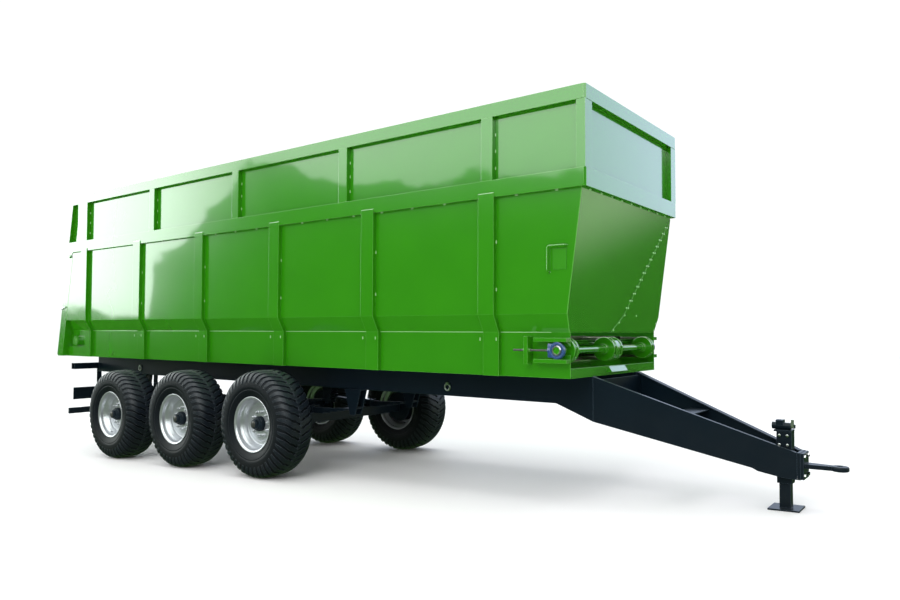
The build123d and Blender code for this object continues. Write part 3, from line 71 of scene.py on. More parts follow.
class LevelFrame:
    """The cart's own frame, square to its floor, inside the parked row frame."""

    def __init__(self) -> None:
        """Works the frame out from the tow eye's axis, the front axle and the top rail."""
        eye = next(m for m in frame["record"]["mounts"] if m["name"] == "tow_eye")
        sine, cosine = eye["axis"][0], eye["axis"][2]
        axle = joint_place("wheel_front_right_spin")
        run = axle.z / cosine * sine - axle.x
        turn = Matrix.Rotation(math.atan2(sine, cosine), 4, "Y")
        self.to_world = Matrix.Translation((-run, 0.0, 0.0)) @ turn
        self.to_level = self.to_world.inverted()
        front_face = self.box("top_rail")[1].x
        self.to_world = self.to_world @ Matrix.Translation((front_face, 0.0, 0.0))
        self.to_level = self.to_world.inverted()

    def points(self, node: str) -> np.ndarray:
        """Vertices of a CAD node in the level frame.

        Args:
            node: the CAD node's name.

        Returns:
            One row of x, y, z for each vertex.
        """
        mesh = frame["nodes"][node].data
        flat = np.empty(len(mesh.vertices) * 3)
        mesh.vertices.foreach_get("co", flat)
        turn = np.array(self.to_level)
        return flat.reshape(-1, 3) @ turn[:3, :3].T + turn[:3, 3]

    def box(self, node: str) -> tuple[Vector, Vector]:
        """Lowest and highest corner of a CAD node in the level frame."""
        points = self.points(node)
        return Vector(points.min(0)), Vector(points.max(0))

    def solids(self, node: str) -> list[tuple[Vector, Vector]]:
        """Boxes of the separate solids of a CAD node in the level frame.

        Args:
            node: the CAD node's name.

        Returns:
            The lowest and highest corner of each solid, in the order of x.
        """
        points = self.points(node)
        _, spot = np.unique(np.round(points, 5), axis=0, return_inverse=True)
        spot = spot.reshape(-1)
        parent = list(range(int(spot.max()) + 1))

        def root(item: int) -> int:
            """The item that stands for a connected group."""
            while parent[item] != item:
                parent[item] = parent[parent[item]]
                item = parent[item]
            return item

        for face in frame["nodes"][node].data.polygons:
            first = root(int(spot[face.vertices[0]]))
            for vertex in face.vertices[1:]:
                parent[root(int(spot[vertex]))] = first
        groups: dict[int, list[int]] = {}
        for index, item in enumerate(spot):
            groups.setdefault(root(int(item)), []).append(index)
        boxes = [(points[rows].min(0), points[rows].max(0)) for rows in groups.values()]
        boxes.sort(key=lambda box: (round(float(box[0][0]), 4), float(box[0][1])))
        return [(Vector(low), Vector(high)) for low, high in boxes]

    def place(self, joint: str) -> Vector:
        """Place of a joint in the level frame."""
        return self.to_level @ joint_place(joint)


def joint_place(name: str) -> Vector:
    """Place of a joint in the row frame."""
    return Vector(next(j for j in frame["joints"] if j["name"] == name)["pos_m"])


LEVEL = LevelFrame()


# ------------------------------------------------------------------ shader groups and finishes
class NodeGroups:
    """Shader node groups that more than one finish uses, each built once."""

    @staticmethod
    def _new(name: str, inputs: dict[str, float], outputs: dict[str, str]) -> bpy.types.NodeTree:
        """An empty group with float inputs and the outputs asked for.

        Args:
            name: the group's name.
            inputs: each input's name and its usual value.
            outputs: each output's name and its socket type.

        Returns:
            The new node tree.
        """
        tree = bpy.data.node_groups.new(name, "ShaderNodeTree")
        for label, value in inputs.items():
            socket = tree.interface.new_socket(label, in_out="INPUT", socket_type="NodeSocketFloat")
            socket.default_value = value
        for label, kind in outputs.items():
            tree.interface.new_socket(label, in_out="OUTPUT", socket_type=kind)
        tree.nodes.new("NodeGroupInput").name = "in"
        tree.nodes.new("NodeGroupOutput").name = "out"
        return tree

    @classmethod
    def soft_edge(cls) -> bpy.types.NodeTree:
        """Rounded edges: a bevelled normal, and a mask that is 1 on the edges.

        Returns:
            The group, with inputs Radius and Sharpness and outputs Normal and Edge.
        """
        found = bpy.data.node_groups.get("soft_edge")
        if found:
            return found
        tree = cls._new(
            "soft_edge",
            {"Radius": 0.004, "Sharpness": 6.0},
            {"Normal": "NodeSocketVector", "Edge": "NodeSocketFloat"},
        )
        group_in, group_out = tree.nodes["in"], tree.nodes["out"]
        bevel = tree.nodes.new("ShaderNodeBevel")
        bevel.samples = 4
        flat = tree.nodes.new("ShaderNodeNewGeometry")
        facing = tree.nodes.new("ShaderNodeVectorMath")
        facing.operation = "DOT_PRODUCT"
        away = math_node(tree, "SUBTRACT", 1.0, None)
        scaled = math_node(tree, "MULTIPLY", None, None, clamp=True)
        link = tree.links.new
        link(group_in.outputs["Radius"], bevel.inputs["Radius"])
        link(bevel.outputs["Normal"], facing.inputs[0])
        link(flat.outputs["Normal"], facing.inputs[1])
        link(facing.outputs["Value"], away.inputs[1])
        link(away.outputs[0], scaled.inputs[0])
        link(group_in.outputs["Sharpness"], scaled.inputs[1])
        link(bevel.outputs["Normal"], group_out.inputs["Normal"])
        link(scaled.outputs[0], group_out.inputs["Edge"])
        return tree

    @classmethod
    def grain(cls) -> bpy.types.NodeTree:
        """Fine surface grain over broad waves, as sprayed paint or cast metal has.

        Returns:
            The group, with inputs Fine and Broad (counts a metre) and Waves, and outputs Height and Patch.
        """
        found = bpy.data.node_groups.get("surface_grain")
        if found:
            return found
        tree = cls._new(
            "surface_grain",
            {"Fine": 260.0, "Broad": 2.2, "Waves": 0.5},
            {"Height": "NodeSocketFloat", "Patch": "NodeSocketFloat"},
        )
        group_in, group_out = tree.nodes["in"], tree.nodes["out"]
        place = tree.nodes.new("ShaderNodeTexCoord")
        noises = []
        for label in ("Fine", "Broad"):
            noise = tree.nodes.new("ShaderNodeTexNoise")
            noise.inputs["Detail"].default_value = 2.0
            tree.links.new(place.outputs["Object"], noise.inputs["Vector"])
            tree.links.new(group_in.outputs[label], noise.inputs["Scale"])
            noises.append(noise)
        mixed = tree.nodes.new("ShaderNodeMix")
        tree.links.new(group_in.outputs["Waves"], mixed.inputs["Factor"])
        tree.links.new(noises[0].outputs["Fac"], mixed.inputs["A"])
        tree.links.new(noises[1].outputs["Fac"], mixed.inputs["B"])
        tree.links.new(mixed.outputs["Result"], group_out.inputs["Height"])
        tree.links.new(noises[1].outputs["Fac"], group_out.inputs["Patch"])
        return tree

    @classmethod
    def dust(cls) -> bpy.types.NodeTree:
        """Dust that thins out with height and settles on faces that look up.

        Returns:
            The group, with inputs Top (metres), Amount and Ledges, and the output Mask.
        """
        found = bpy.data.node_groups.get("road_dust")
        if found:
            return found
        tree = cls._new(
            "road_dust",
            {"Top": 1.2, "Amount": 0.2, "Ledges": 0.1},
            {"Mask": "NodeSocketFloat"},
        )
        group_in, group_out = tree.nodes["in"], tree.nodes["out"]
        place = tree.nodes.new("ShaderNodeTexCoord")
        split = tree.nodes.new("ShaderNodeSeparateXYZ")
        normal = tree.nodes.new("ShaderNodeSeparateXYZ")
        noise = tree.nodes.new("ShaderNodeTexNoise")
        noise.inputs["Scale"].default_value = 7.0
        noise.inputs["Detail"].default_value = 5.0
        fade = tree.nodes.new("ShaderNodeMapRange")
        fade.inputs["To Min"].default_value = 1.0
        fade.inputs["To Max"].default_value = 0.0
        low = math_node(tree, "MULTIPLY", None, None)
        broken = math_node(tree, "MULTIPLY", None, None)
        ledge = math_node(tree, "MULTIPLY", None, None, clamp=True)
        total = math_node(tree, "ADD", None, None, clamp=True)
        link = tree.links.new
        link(place.outputs["Object"], split.inputs[0])
        link(place.outputs["Object"], noise.inputs["Vector"])
        link(place.outputs["Normal"], normal.inputs[0])
        link(split.outputs["Z"], fade.inputs["Value"])
        link(group_in.outputs["Top"], fade.inputs["From Max"])
        link(fade.outputs["Result"], low.inputs[0])
        link(group_in.outputs["Amount"], low.inputs[1])
        link(low.outputs[0], broken.inputs[0])
        link(noise.outputs["Fac"], broken.inputs[1])
        link(normal.outputs["Z"], ledge.inputs[0])
        link(group_in.outputs["Ledges"], ledge.inputs[1])
        link(broken.outputs[0], total.inputs[0])
        link(ledge.outputs[0], total.inputs[1])
        link(total.outputs[0], group_out.inputs["Mask"])
        return tree


def math_node(
    tree: bpy.types.NodeTree, operation: str, first: float | None, second: float | None, clamp: bool = False
) -> bpy.types.Node:
    """A Math node with its fixed values set.

    Args:
        tree: where the node goes.
        operation: the Math node's operation.
        first: the first input's value, or None where a link feeds it.
        second: the second input's value, or None where a link feeds it.
        clamp: whether the result stays between 0 and 1.

    Returns:
        The node.
    """
    node = tree.nodes.new("ShaderNodeMath")
    node.operation = operation
    node.use_clamp = clamp
    for socket, value in zip(node.inputs, (first, second)):
        if value is not None:
            socket.default_value = value
    return node


@dataclass(frozen=True)
class Finish:
    """A finish of the cart, made into one material.

    colour and shade are the two ends of its broad patches, fine and broad the grain's counts a metre, waves
    the share of the broad grain in the bump, and shine the shader's specular level.
    """

    COAT_ROUGHNESS = 0.03
    EDGE_SHARPNESS = 5.0
    BUMP_STRENGTH = 0.6
    DUST_ROUGHNESS = 0.75

    name: str
    colour: Point
    shade: Point
    rough: float
    metallic: float = 0.0
    coat: float = 0.0
    # Painted highlight: a lighter colour laid along every edge of the piece, as far as the edge radius reaches.
    edge_highlight_colour: Point = (0.8, 0.8, 0.8)
    edge_highlight_amount: float = 0.0
    edge_radius: float = 0.004
    fine: float = 260.0
    broad: float = 2.2
    waves: float = 0.3
    bump: float = 0.0004
    dust_colour: Point = (0.32, 0.27, 0.2)
    dust_top: float = 1.2
    dust_amount: float = 0.12
    dust_ledges: float = 0.04
    shine: float = 0.5

    def material(self) -> bpy.types.Material:
        """The finish's material, built the first time it is asked for.

        Returns:
            The material.
        """
        found = bpy.data.materials.get(self.name)
        if found:
            return found
        material = bpy.data.materials.new(self.name)
        material.use_nodes = True
        tree = material.node_tree
        shader = tree.nodes["Principled BSDF"]
        shader.inputs["Metallic"].default_value = self.metallic
        shader.inputs["Coat Weight"].default_value = self.coat
        shader.inputs["Coat Roughness"].default_value = self.COAT_ROUGHNESS
        shader.inputs["Specular IOR Level"].default_value = self.shine
        grain = self._group(tree, NodeGroups.grain(), Fine=self.fine, Broad=self.broad, Waves=self.waves)
        edge = self._group(
            tree, NodeGroups.soft_edge(), Radius=self.edge_radius, Sharpness=self.EDGE_SHARPNESS
        )
        dust = self._group(
            tree, NodeGroups.dust(), Top=self.dust_top, Amount=self.dust_amount, Ledges=self.dust_ledges
        )
        link = tree.links.new
        body = self.mix(tree, self.shade, self.colour, grain.outputs["Patch"])
        # Painted highlight: the edge mask lays the lighter edge colour along every edge.
        amount = math_node(tree, "MULTIPLY", None, self.edge_highlight_amount, clamp=True)
        link(edge.outputs["Edge"], amount.inputs[0])
        edge_highlighted = self.mix(tree, body, self.edge_highlight_colour, amount.outputs[0])
        dusty = self.mix(tree, edge_highlighted, self.dust_colour, dust.outputs["Mask"])
        link(dusty, shader.inputs["Base Color"])
        rough = tree.nodes.new("ShaderNodeMapRange")
        rough.inputs["To Min"].default_value = self.rough
        rough.inputs["To Max"].default_value = self.DUST_ROUGHNESS
        link(dust.outputs["Mask"], rough.inputs["Value"])
        link(rough.outputs["Result"], shader.inputs["Roughness"])
        bump = tree.nodes.new("ShaderNodeBump")
        bump.inputs["Distance"].default_value = self.bump
        bump.inputs["Strength"].default_value = self.BUMP_STRENGTH
        link(grain.outputs["Height"], bump.inputs["Height"])
        link(edge.outputs["Normal"], bump.inputs["Normal"])
        link(bump.outputs["Normal"], shader.inputs["Normal"])
        return material

    @staticmethod
    def _group(tree: bpy.types.NodeTree, group: bpy.types.NodeTree, **values: float) -> bpy.types.Node:
        """A group node with its inputs set."""
        node = tree.nodes.new("ShaderNodeGroup")
        node.node_tree = group
        for label, value in values.items():
            node.inputs[label].default_value = value
        return node

    @staticmethod
    def mix(tree: bpy.types.NodeTree, first: object, second: object, factor: object) -> bpy.types.NodeSocket:
        """A colour mix.

        Args:
            tree: where the node goes.
            first: the colour at factor 0, as three numbers or a socket.
            second: the colour at factor 1, as three numbers or a socket.
            factor: the socket that feeds the factor.

        Returns:
            The mixed colour's socket.
        """
        node = tree.nodes.new("ShaderNodeMix")
        node.data_type = "RGBA"
        sockets = [s for s in node.inputs if s.type == "RGBA"]
        for socket, value in zip(sockets, (first, second)):
            if isinstance(value, tuple):
                socket.default_value = (*value, 1.0)
            else:
                tree.links.new(value, socket)
        tree.links.new(factor, node.inputs["Factor"])
        return next(s for s in node.outputs if s.type == "RGBA")


GREEN = Finish(
    "green_paint", (0.025, 0.225, 0.003), (0.02, 0.195, 0.0025), 0.16, coat=1.0,
    edge_highlight_colour=(0.22, 0.6, 0.13), edge_highlight_amount=0.8, edge_radius=0.006, bump=0.00015, waves=0.8,
)
DARK = Finish(
    "slate_paint", (0.0045, 0.0105, 0.017), (0.003, 0.0075, 0.012), 0.32, shine=0.1,
    edge_highlight_colour=(0.12, 0.17, 0.22), edge_highlight_amount=0.6, edge_radius=0.004, dust_amount=0.03, dust_top=1.0,
    dust_ledges=0.01,
)
BLUE = Finish(
    "bearing_enamel", (0.02, 0.065, 0.2), (0.012, 0.045, 0.15), 0.3, coat=0.6,
    edge_highlight_colour=(0.25, 0.4, 0.65), edge_highlight_amount=0.5, edge_radius=0.002, fine=700.0, bump=0.0008,
)
MOTOR = Finish(
    "motor_enamel", (0.018, 0.018, 0.02), (0.012, 0.012, 0.014), 0.36, coat=0.3,
    edge_highlight_colour=(0.2, 0.2, 0.2), edge_highlight_amount=0.5, fine=600.0, bump=0.0008,
)
ZINC = Finish(
    "zinc_plate", (0.62, 0.63, 0.64), (0.45, 0.46, 0.48), 0.28, metallic=1.0,
    edge_highlight_colour=(0.85, 0.85, 0.85), edge_highlight_amount=0.4, edge_radius=0.001, fine=900.0, bump=0.0003,
)
STEEL = Finish(
    "chain_link_steel", (0.32, 0.31, 0.29), (0.14, 0.125, 0.11), 0.4, metallic=1.0,
    edge_highlight_colour=(0.7, 0.68, 0.65), edge_highlight_amount=0.6, edge_radius=0.002, fine=420.0, bump=0.0009, broad=9.0,
)
SILVER = Finish(
    "rim_paint", (0.5, 0.52, 0.56), (0.42, 0.44, 0.47), 0.3, metallic=0.7, coat=0.2,
    edge_highlight_colour=(0.9, 0.9, 0.9), edge_highlight_amount=0.4, edge_radius=0.003, fine=500.0, dust_amount=0.12,
    dust_top=0.9,
)
# Painted shade: the carcass rubber is darker than the lugs' rubber, for the shade in the grooves between the lugs;
# the real tyre is one rubber.
SHADED_RUBBER = Finish(
    "tyre_rubber_painted_shade", (0.004, 0.006, 0.009), (0.003, 0.0045, 0.007), 0.5, shine=0.12,
    edge_highlight_colour=(0.085, 0.095, 0.11), edge_highlight_amount=0.9, edge_radius=0.004, fine=520.0, bump=0.0012,
    dust_amount=0.03, dust_top=0.5, dust_ledges=0.0, broad=6.0,
)
LIT_LUG_RUBBER = Finish(
    "lug_rubber_lit", (0.007, 0.011, 0.017), (0.005, 0.008, 0.013), 0.4, shine=0.25,
    edge_highlight_colour=(0.08, 0.095, 0.115), edge_highlight_amount=0.9, edge_radius=0.005, fine=520.0, bump=0.0008,
    dust_amount=0.02, dust_top=0.5, dust_ledges=0.0, broad=6.0,
)
PANE = Finish(
    "smoked_pane", (0.035, 0.24, 0.012), (0.03, 0.21, 0.01), 0.12, coat=0.8,
    edge_highlight_colour=(0.3, 0.5, 0.3), edge_highlight_amount=0.5, edge_radius=0.002, bump=0.0002,
)
RED_LENS = Finish(
    "red_lens", (0.5, 0.012, 0.008), (0.38, 0.008, 0.006), 0.1, coat=1.0, fine=120.0, bump=0.002, waves=0.0,
)
AMBER_LENS = Finish(
    "amber_lens", (0.75, 0.2, 0.01), (0.6, 0.15, 0.008), 0.1, coat=1.0, fine=120.0, bump=0.002, waves=0.0,
)
# Painted highlight: a pale green for the welds, rivets and skirt seam line, standing for the glints on the green
# paint.
HIGHLIGHT_GREEN = Finish(
    "painted_highlight_green", (0.34, 0.62, 0.28), (0.26, 0.54, 0.2), 0.25, coat=0.8, fine=900.0, bump=0.001,
    edge_highlight_colour=(0.6, 0.85, 0.45), edge_highlight_amount=0.6, edge_radius=0.001,
)


# ------------------------------------------------------------------ shaping helpers
def deselect() -> None:
    """Nothing stays selected."""
    bpy.ops.object.select_all(action="DESELECT")


def only(piece: bpy.types.Object) -> None:
    """The piece is the one selected and active object."""
    deselect()
    piece.select_set(True)
    bpy.context.view_layer.objects.active = piece


def bake_place(piece: bpy.types.Object) -> None:
    """The piece's own place goes into its mesh."""
    only(piece)
    bpy.ops.object.transform_apply(location=True, rotation=True, scale=True)


def bevelled(piece: bpy.types.Object, width: float, segments: int = 2) -> bpy.types.Object:
    """Rounds the sharp edges of a piece.

    Args:
        piece: the piece to round.
        width: how far each bevel reaches from its edge.
        segments: how many faces each bevel has.

    Returns:
        The same piece.
    """
    only(piece)
    rounding = piece.modifiers.new("rounding", "BEVEL")
    rounding.width = width
    rounding.segments = segments
    rounding.limit_method = "ANGLE"
    bpy.ops.object.modifier_apply(modifier=rounding.name)
    return piece


def slab(low: Point, high: Point, bevel: float = 0.002) -> bpy.types.Object:
    """Rectangular plate or block with rounded edges.

    Args:
        low: the lowest corner.
        high: the highest corner.
        bevel: the radius of the edges.

    Returns:
        The new piece.
    """
    deselect()
    middle = [(a + b) / 2 for a, b in zip(low, high)]
    size = [abs(b - a) for a, b in zip(low, high)]
    bpy.ops.mesh.primitive_cube_add(size=1.0, location=middle, scale=size)
    piece = bpy.context.active_object
    bake_place(piece)
    return bevelled(piece, bevel)


def turned(profile: Profile, centre: Vector | Point, axis: str = "Y", steps: int = 48) -> bpy.types.Object:
    """Round piece spun from a closed outline of (radius, distance along the axis) points.

    Args:
        profile: the outline's points.
        centre: the axis's own point, from which distances run.
        axis: X, Y or Z.
        steps: how many faces go round.

    Returns:
        The new piece.
    """
    deselect()
    bpy.ops.mesh.primitive_circle_add(vertices=len(profile), radius=1.0, fill_type="NOTHING")
    piece = bpy.context.active_object
    ways = {
        "X": (Vector((1, 0, 0)), Vector((0, 0, 1))),
        "Y": (Vector((0, 1, 0)), Vector((1, 0, 0))),
        "Z": (Vector((0, 0, 1)), Vector((1, 0, 0))),
    }
    along, out = ways[axis]
    for vertex, (radius, distance) in zip(piece.data.vertices, profile):
        vertex.co = Vector(centre) + out * radius + along * distance
    bpy.ops.object.mode_set(mode="EDIT")
    bpy.ops.mesh.select_all(action="SELECT")
    bpy.ops.mesh.spin(steps=steps, angle=math.tau, center=tuple(centre), axis=tuple(along))
    bpy.ops.mesh.select_all(action="SELECT")
    bpy.ops.mesh.remove_doubles(threshold=0.00002)
    bpy.ops.mesh.normals_make_consistent(inside=False)
    bpy.ops.object.mode_set(mode="OBJECT")
    return piece


def hexagon(across: float, length: float, centre: Vector | Point, axis: str = "X") -> bpy.types.Object:
    """Hexagonal nut or bolt head with chamfered corners.

    Args:
        across: the distance over the flats.
        length: the distance along the axis.
        centre: the middle of the head.
        axis: X, Y or Z.

    Returns:
        The new piece.
    """
    deselect()
    turns = {"X": (0, math.pi / 2, 0), "Y": (math.pi / 2, 0, 0), "Z": (0, 0, 0)}
    radius = across / 2 / math.cos(math.pi / 6)
    bpy.ops.mesh.primitive_cylinder_add(
        vertices=6, radius=radius, depth=length, location=tuple(centre), rotation=turns[axis]
    )
    piece = bpy.context.active_object
    bake_place(piece)
    return bevelled(piece, across * 0.06)


def copied(piece: bpy.types.Object, move: Matrix) -> bpy.types.Object:
    """A moved copy with its own mesh."""
    twin = piece.copy()
    twin.data = piece.data.copy()
    bpy.context.scene.collection.objects.link(twin)
    twin.data.transform(move)
    if move.determinant() < 0:
        twin.data.flip_normals()
    return twin


def joined(parts: list[bpy.types.Object]) -> bpy.types.Object:
    """Several pieces as one object."""
    only(parts[0])
    for part in parts[1:]:
        part.select_set(True)
    if len(parts) > 1:
        bpy.ops.object.join()
    return bpy.context.view_layer.objects.active


def ring_of(
    piece: bpy.types.Object, count: int, centre: Vector | Point, axis: str, start: float = 0.0
) -> list[bpy.types.Object]:
    """Evenly spaced copies round an axis; the first takes the place of the piece.

    Args:
        piece: the piece to repeat.
        count: how many there are.
        centre: a point of the axis.
        axis: X, Y or Z.
        start: the angle of the first, in radians.

    Returns:
        The copies.
    """
    to_axis = Matrix.Translation(Vector(centre))
    turns = [start + math.tau * number / count for number in range(count)]
    moves = [to_axis @ Matrix.Rotation(turn, 4, axis) @ to_axis.inverted() for turn in turns]
    copies = [copied(piece, move) for move in moves]
    bpy.data.objects.remove(piece)
    return copies


def settle(
    piece: bpy.types.Object,
    name: str,
    body: str,
    finish: Finish,
    replaces: tuple[str, ...] = (),
    smooth: float = 35.0,
) -> bpy.types.Object:
    """Turns a finished piece into the parked stance, dresses it and hangs it on its body.

    Args:
        piece: the piece, in the level frame.
        name: its name in the table of pieces.
        body: the CAD body that it moves with.
        finish: its finish.
        replaces: CAD nodes that it stands for.
        smooth: the angle in degrees under which edges are shaded smooth.

    Returns:
        The same piece.
    """
    piece.data.transform(LEVEL.to_world)
    piece.name = name
    piece.data.name = name
    piece.data.materials.clear()
    piece.data.materials.append(finish.material())
    only(piece)
    bpy.ops.object.shade_smooth_by_angle(angle=math.radians(smooth))
    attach(piece, body)
    if replaces:
        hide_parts(*replaces)
    LOG.info("%s: %d faces on %s", name, len(piece.data.polygons), body)
    return piece


# ------------------------------------------------------------------ sheet-metal body
class CadFinishes:
    """Finishes of the CAD nodes that stay in view, and those painted in the body's green all over."""

    PAINTED_OVER = ("rear_bearings",)

    def dress(self) -> None:
        """Gives each CAD node the finish that its slot in the record asks for."""
        finishes = {
            Slot.GREEN: GREEN, Slot.DARK: DARK, Slot.BLUE: BLUE, Slot.ZINC: ZINC, Slot.CHAIN: STEEL,
            Slot.PANE: PANE, Slot.MOTOR: MOTOR, Slot.RIM: SILVER, Slot.TYRE: SHADED_RUBBER,
        }
        subparts = frame["record"].get("subparts") or []
        wanted = {part.get("node"): part.get("material_slot") for part in subparts}
        for name, node in frame["nodes"].items():
            slot = wanted.get(name) or self._slot_of(node)
            finish = GREEN if name in self.PAINTED_OVER else finishes[Slot(slot)]
            node.data.materials.clear()
            node.data.materials.append(finish.material())
            LOG.info("%s: %s", name, finish.name)

    @staticmethod
    def _slot_of(node: bpy.types.Object) -> str:
        """The slot named by a node's own imported material."""
        known = {slot.value for slot in Slot}
        for material in node.data.materials:
            if material and material.name.split(".")[0] in known:
                return material.name.split(".")[0]
        return Slot.GREEN.value


@dataclass
class WeldsAndRivets:
    """Stitch welds along the posts, spot welds under the middle rail, skirt seams and the patch's rivets, all in a
    pale green that is painted highlight.
    """

    bead_length: float = 0.034
    bead_radius: float = 0.006
    heights: tuple[float, ...] = (0.2, 0.47, 0.73)
    lower_depth: float = 0.046
    upper_depth: float = 0.053
    post_min_height: float = 0.4
    post_max_width: float = 0.4
    rail_pitch: float = 0.42
    rail_start: float = 0.3
    rail_ends: float = 0.8
    front_count: int = 9
    front_half: float = 0.92
    front_pitch: float = 0.23
    corner_clear: float = 0.3
    seam_half: float = 0.9955
    seam_height: float = 1.698
    seam_thick: float = 0.0025
    seam_end: float = 0.35
    rivet_radius: float = 0.009
    rivet_pitch: float = 0.075
    rivet_inset: float = 0.022
    row_slack: float = 0.002

    def bead(self) -> bpy.types.Object:
        """One rippled weld bead, upright about the origin."""
        half = self.bead_length / 2
        ripple = [
            (
                self.bead_radius * (1.0 - 0.25 * (number % 2)),
                -half * 0.8 + self.bead_length * 0.8 * number / 6,
            )
            for number in range(7)
        ]
        return turned([(0.0, -half), *ripple, (0.0, half)], (0, 0, 0), "Z", 8)

    def stitches(self, node: str, name: str, heights: tuple[float, ...], depth: float) -> None:
        """Beads up both edges of each post of a CAD node.

        Args:
            node: the CAD node of the posts.
            name: the new piece's name.
            heights: where the beads stand, as shares of the post's height.
            depth: how far inside the post's outer face its panel lies.
        """
        bead = self.bead()
        beads = []
        for low, high in LEVEL.solids(node):
            tall_enough = high.z - low.z >= self.post_min_height
            slim_enough = high.x - low.x <= self.post_max_width
            if not (tall_enough and slim_enough) or high.x > -self.corner_clear:
                continue
            side = 1.0 if high.y + low.y > 0 else -1.0
            face = max(abs(low.y), abs(high.y)) - depth
            for x in (low.x - self.bead_radius / 2, high.x + self.bead_radius / 2):
                for share in heights:
                    z = low.z + (high.z - low.z) * share
                    beads.append(copied(bead, Matrix.Translation((x, side * face, z))))
        bpy.data.objects.remove(bead)
        # Painted highlight: the beads take the pale highlight green.
        settle(joined(beads), name, "chassis", HIGHLIGHT_GREEN)

    def under_rail(self) -> None:
        """A row of short welds between the middle rail and the lower walls."""
        low, high = LEVEL.box("middle_rail")
        wall_y = LEVEL.box("lower_wall_left")[1].y
        front_x = LEVEL.box("front_lower_wall")[1].x
        lying = self.bead()
        lying.data.transform(Matrix.Rotation(math.pi / 2, 4, "Y"))
        beads = []
        count = int((high.x - low.x - self.rail_ends) / self.rail_pitch)
        for side in (-1.0, 1.0):
            for number in range(count):
                x = high.x - self.rail_start - number * self.rail_pitch
                spot = (x, side * wall_y, low.z - self.bead_radius / 2)
                beads.append(copied(lying, Matrix.Translation(spot)))
        across = copied(lying, Matrix.Rotation(math.pi / 2, 4, "Z"))
        for number in range(self.front_count):
            y = -self.front_half + number * self.front_pitch
            spot = (front_x, y, low.z - self.bead_radius / 2)
            beads.append(copied(across, Matrix.Translation(spot)))
        bpy.data.objects.remove(lying)
        bpy.data.objects.remove(across)
        # Painted highlight: the beads take the pale highlight green.
        settle(joined(beads), "rail_welds", "chassis", HIGHLIGHT_GREEN)

    def skirt_seam_highlights(self) -> None:
        """A fine welded edge along the top of each skirt, drawn as a thin strip of painted highlight."""
        low, high = LEVEL.box("lower_wall_left")
        edges = []
        for side in (-1.0, 1.0):
            y = side * self.seam_half
            edges.append(slab(
                (low.x + self.seam_end, y - self.seam_thick, self.seam_height - self.seam_thick),
                (high.x - self.seam_end, y + self.seam_thick, self.seam_height + self.seam_thick), 0.001,
            ))
        settle(joined(edges), "skirt_seam_highlights", "chassis", HIGHLIGHT_GREEN)

    def rivets(self) -> None:
        """Dome rivets along the slanted seam and the outer edge of the patch on the front corner."""
        points = LEVEL.points("front_corner_patch")
        heights = sorted({round(float(z), 3) for z in points[:, 2]})
        rows = [points[np.abs(points[:, 2] - height) < self.row_slack] for height in heights]
        seam = [float(row[:, 1].min()) + self.rivet_inset for row in rows]
        edge = [float(row[:, 1].max()) - self.rivet_inset for row in rows]
        face = [float(row[:, 0].max()) for row in rows]
        radius = self.rivet_radius
        dome = turned(
            [(0, -0.004), (radius, -0.004), (radius, 0.001), (radius * 0.8, radius * 0.4), (0, radius * 0.6)],
            (0, 0, 0), "X", 12,
        )
        low, high = heights[0] + self.rivet_inset, heights[-1] - self.rivet_inset
        count = int((high - low) / self.rivet_pitch)
        domes = []
        for line in (seam, edge):
            for number in range(count):
                z = low + (high - low) * number / count
                spot = (float(np.interp(z, heights, face)), float(np.interp(z, heights, line)), z)
                domes.append(copied(dome, Matrix.Translation(spot)))
        bpy.data.objects.remove(dome)
        # Painted highlight: the rivets take the pale highlight green.
        settle(joined(domes), "patch_rivets", "chassis", HIGHLIGHT_GREEN)

    def build(self) -> None:
        """Makes every weld and rivet."""
        self.stitches("lower_posts", "lower_post_welds", self.heights, self.lower_depth)
        self.stitches("upper_posts", "upper_post_welds", self.heights, self.upper_depth)
        self.under_rail()
        self.skirt_seam_highlights()
        self.rivets()


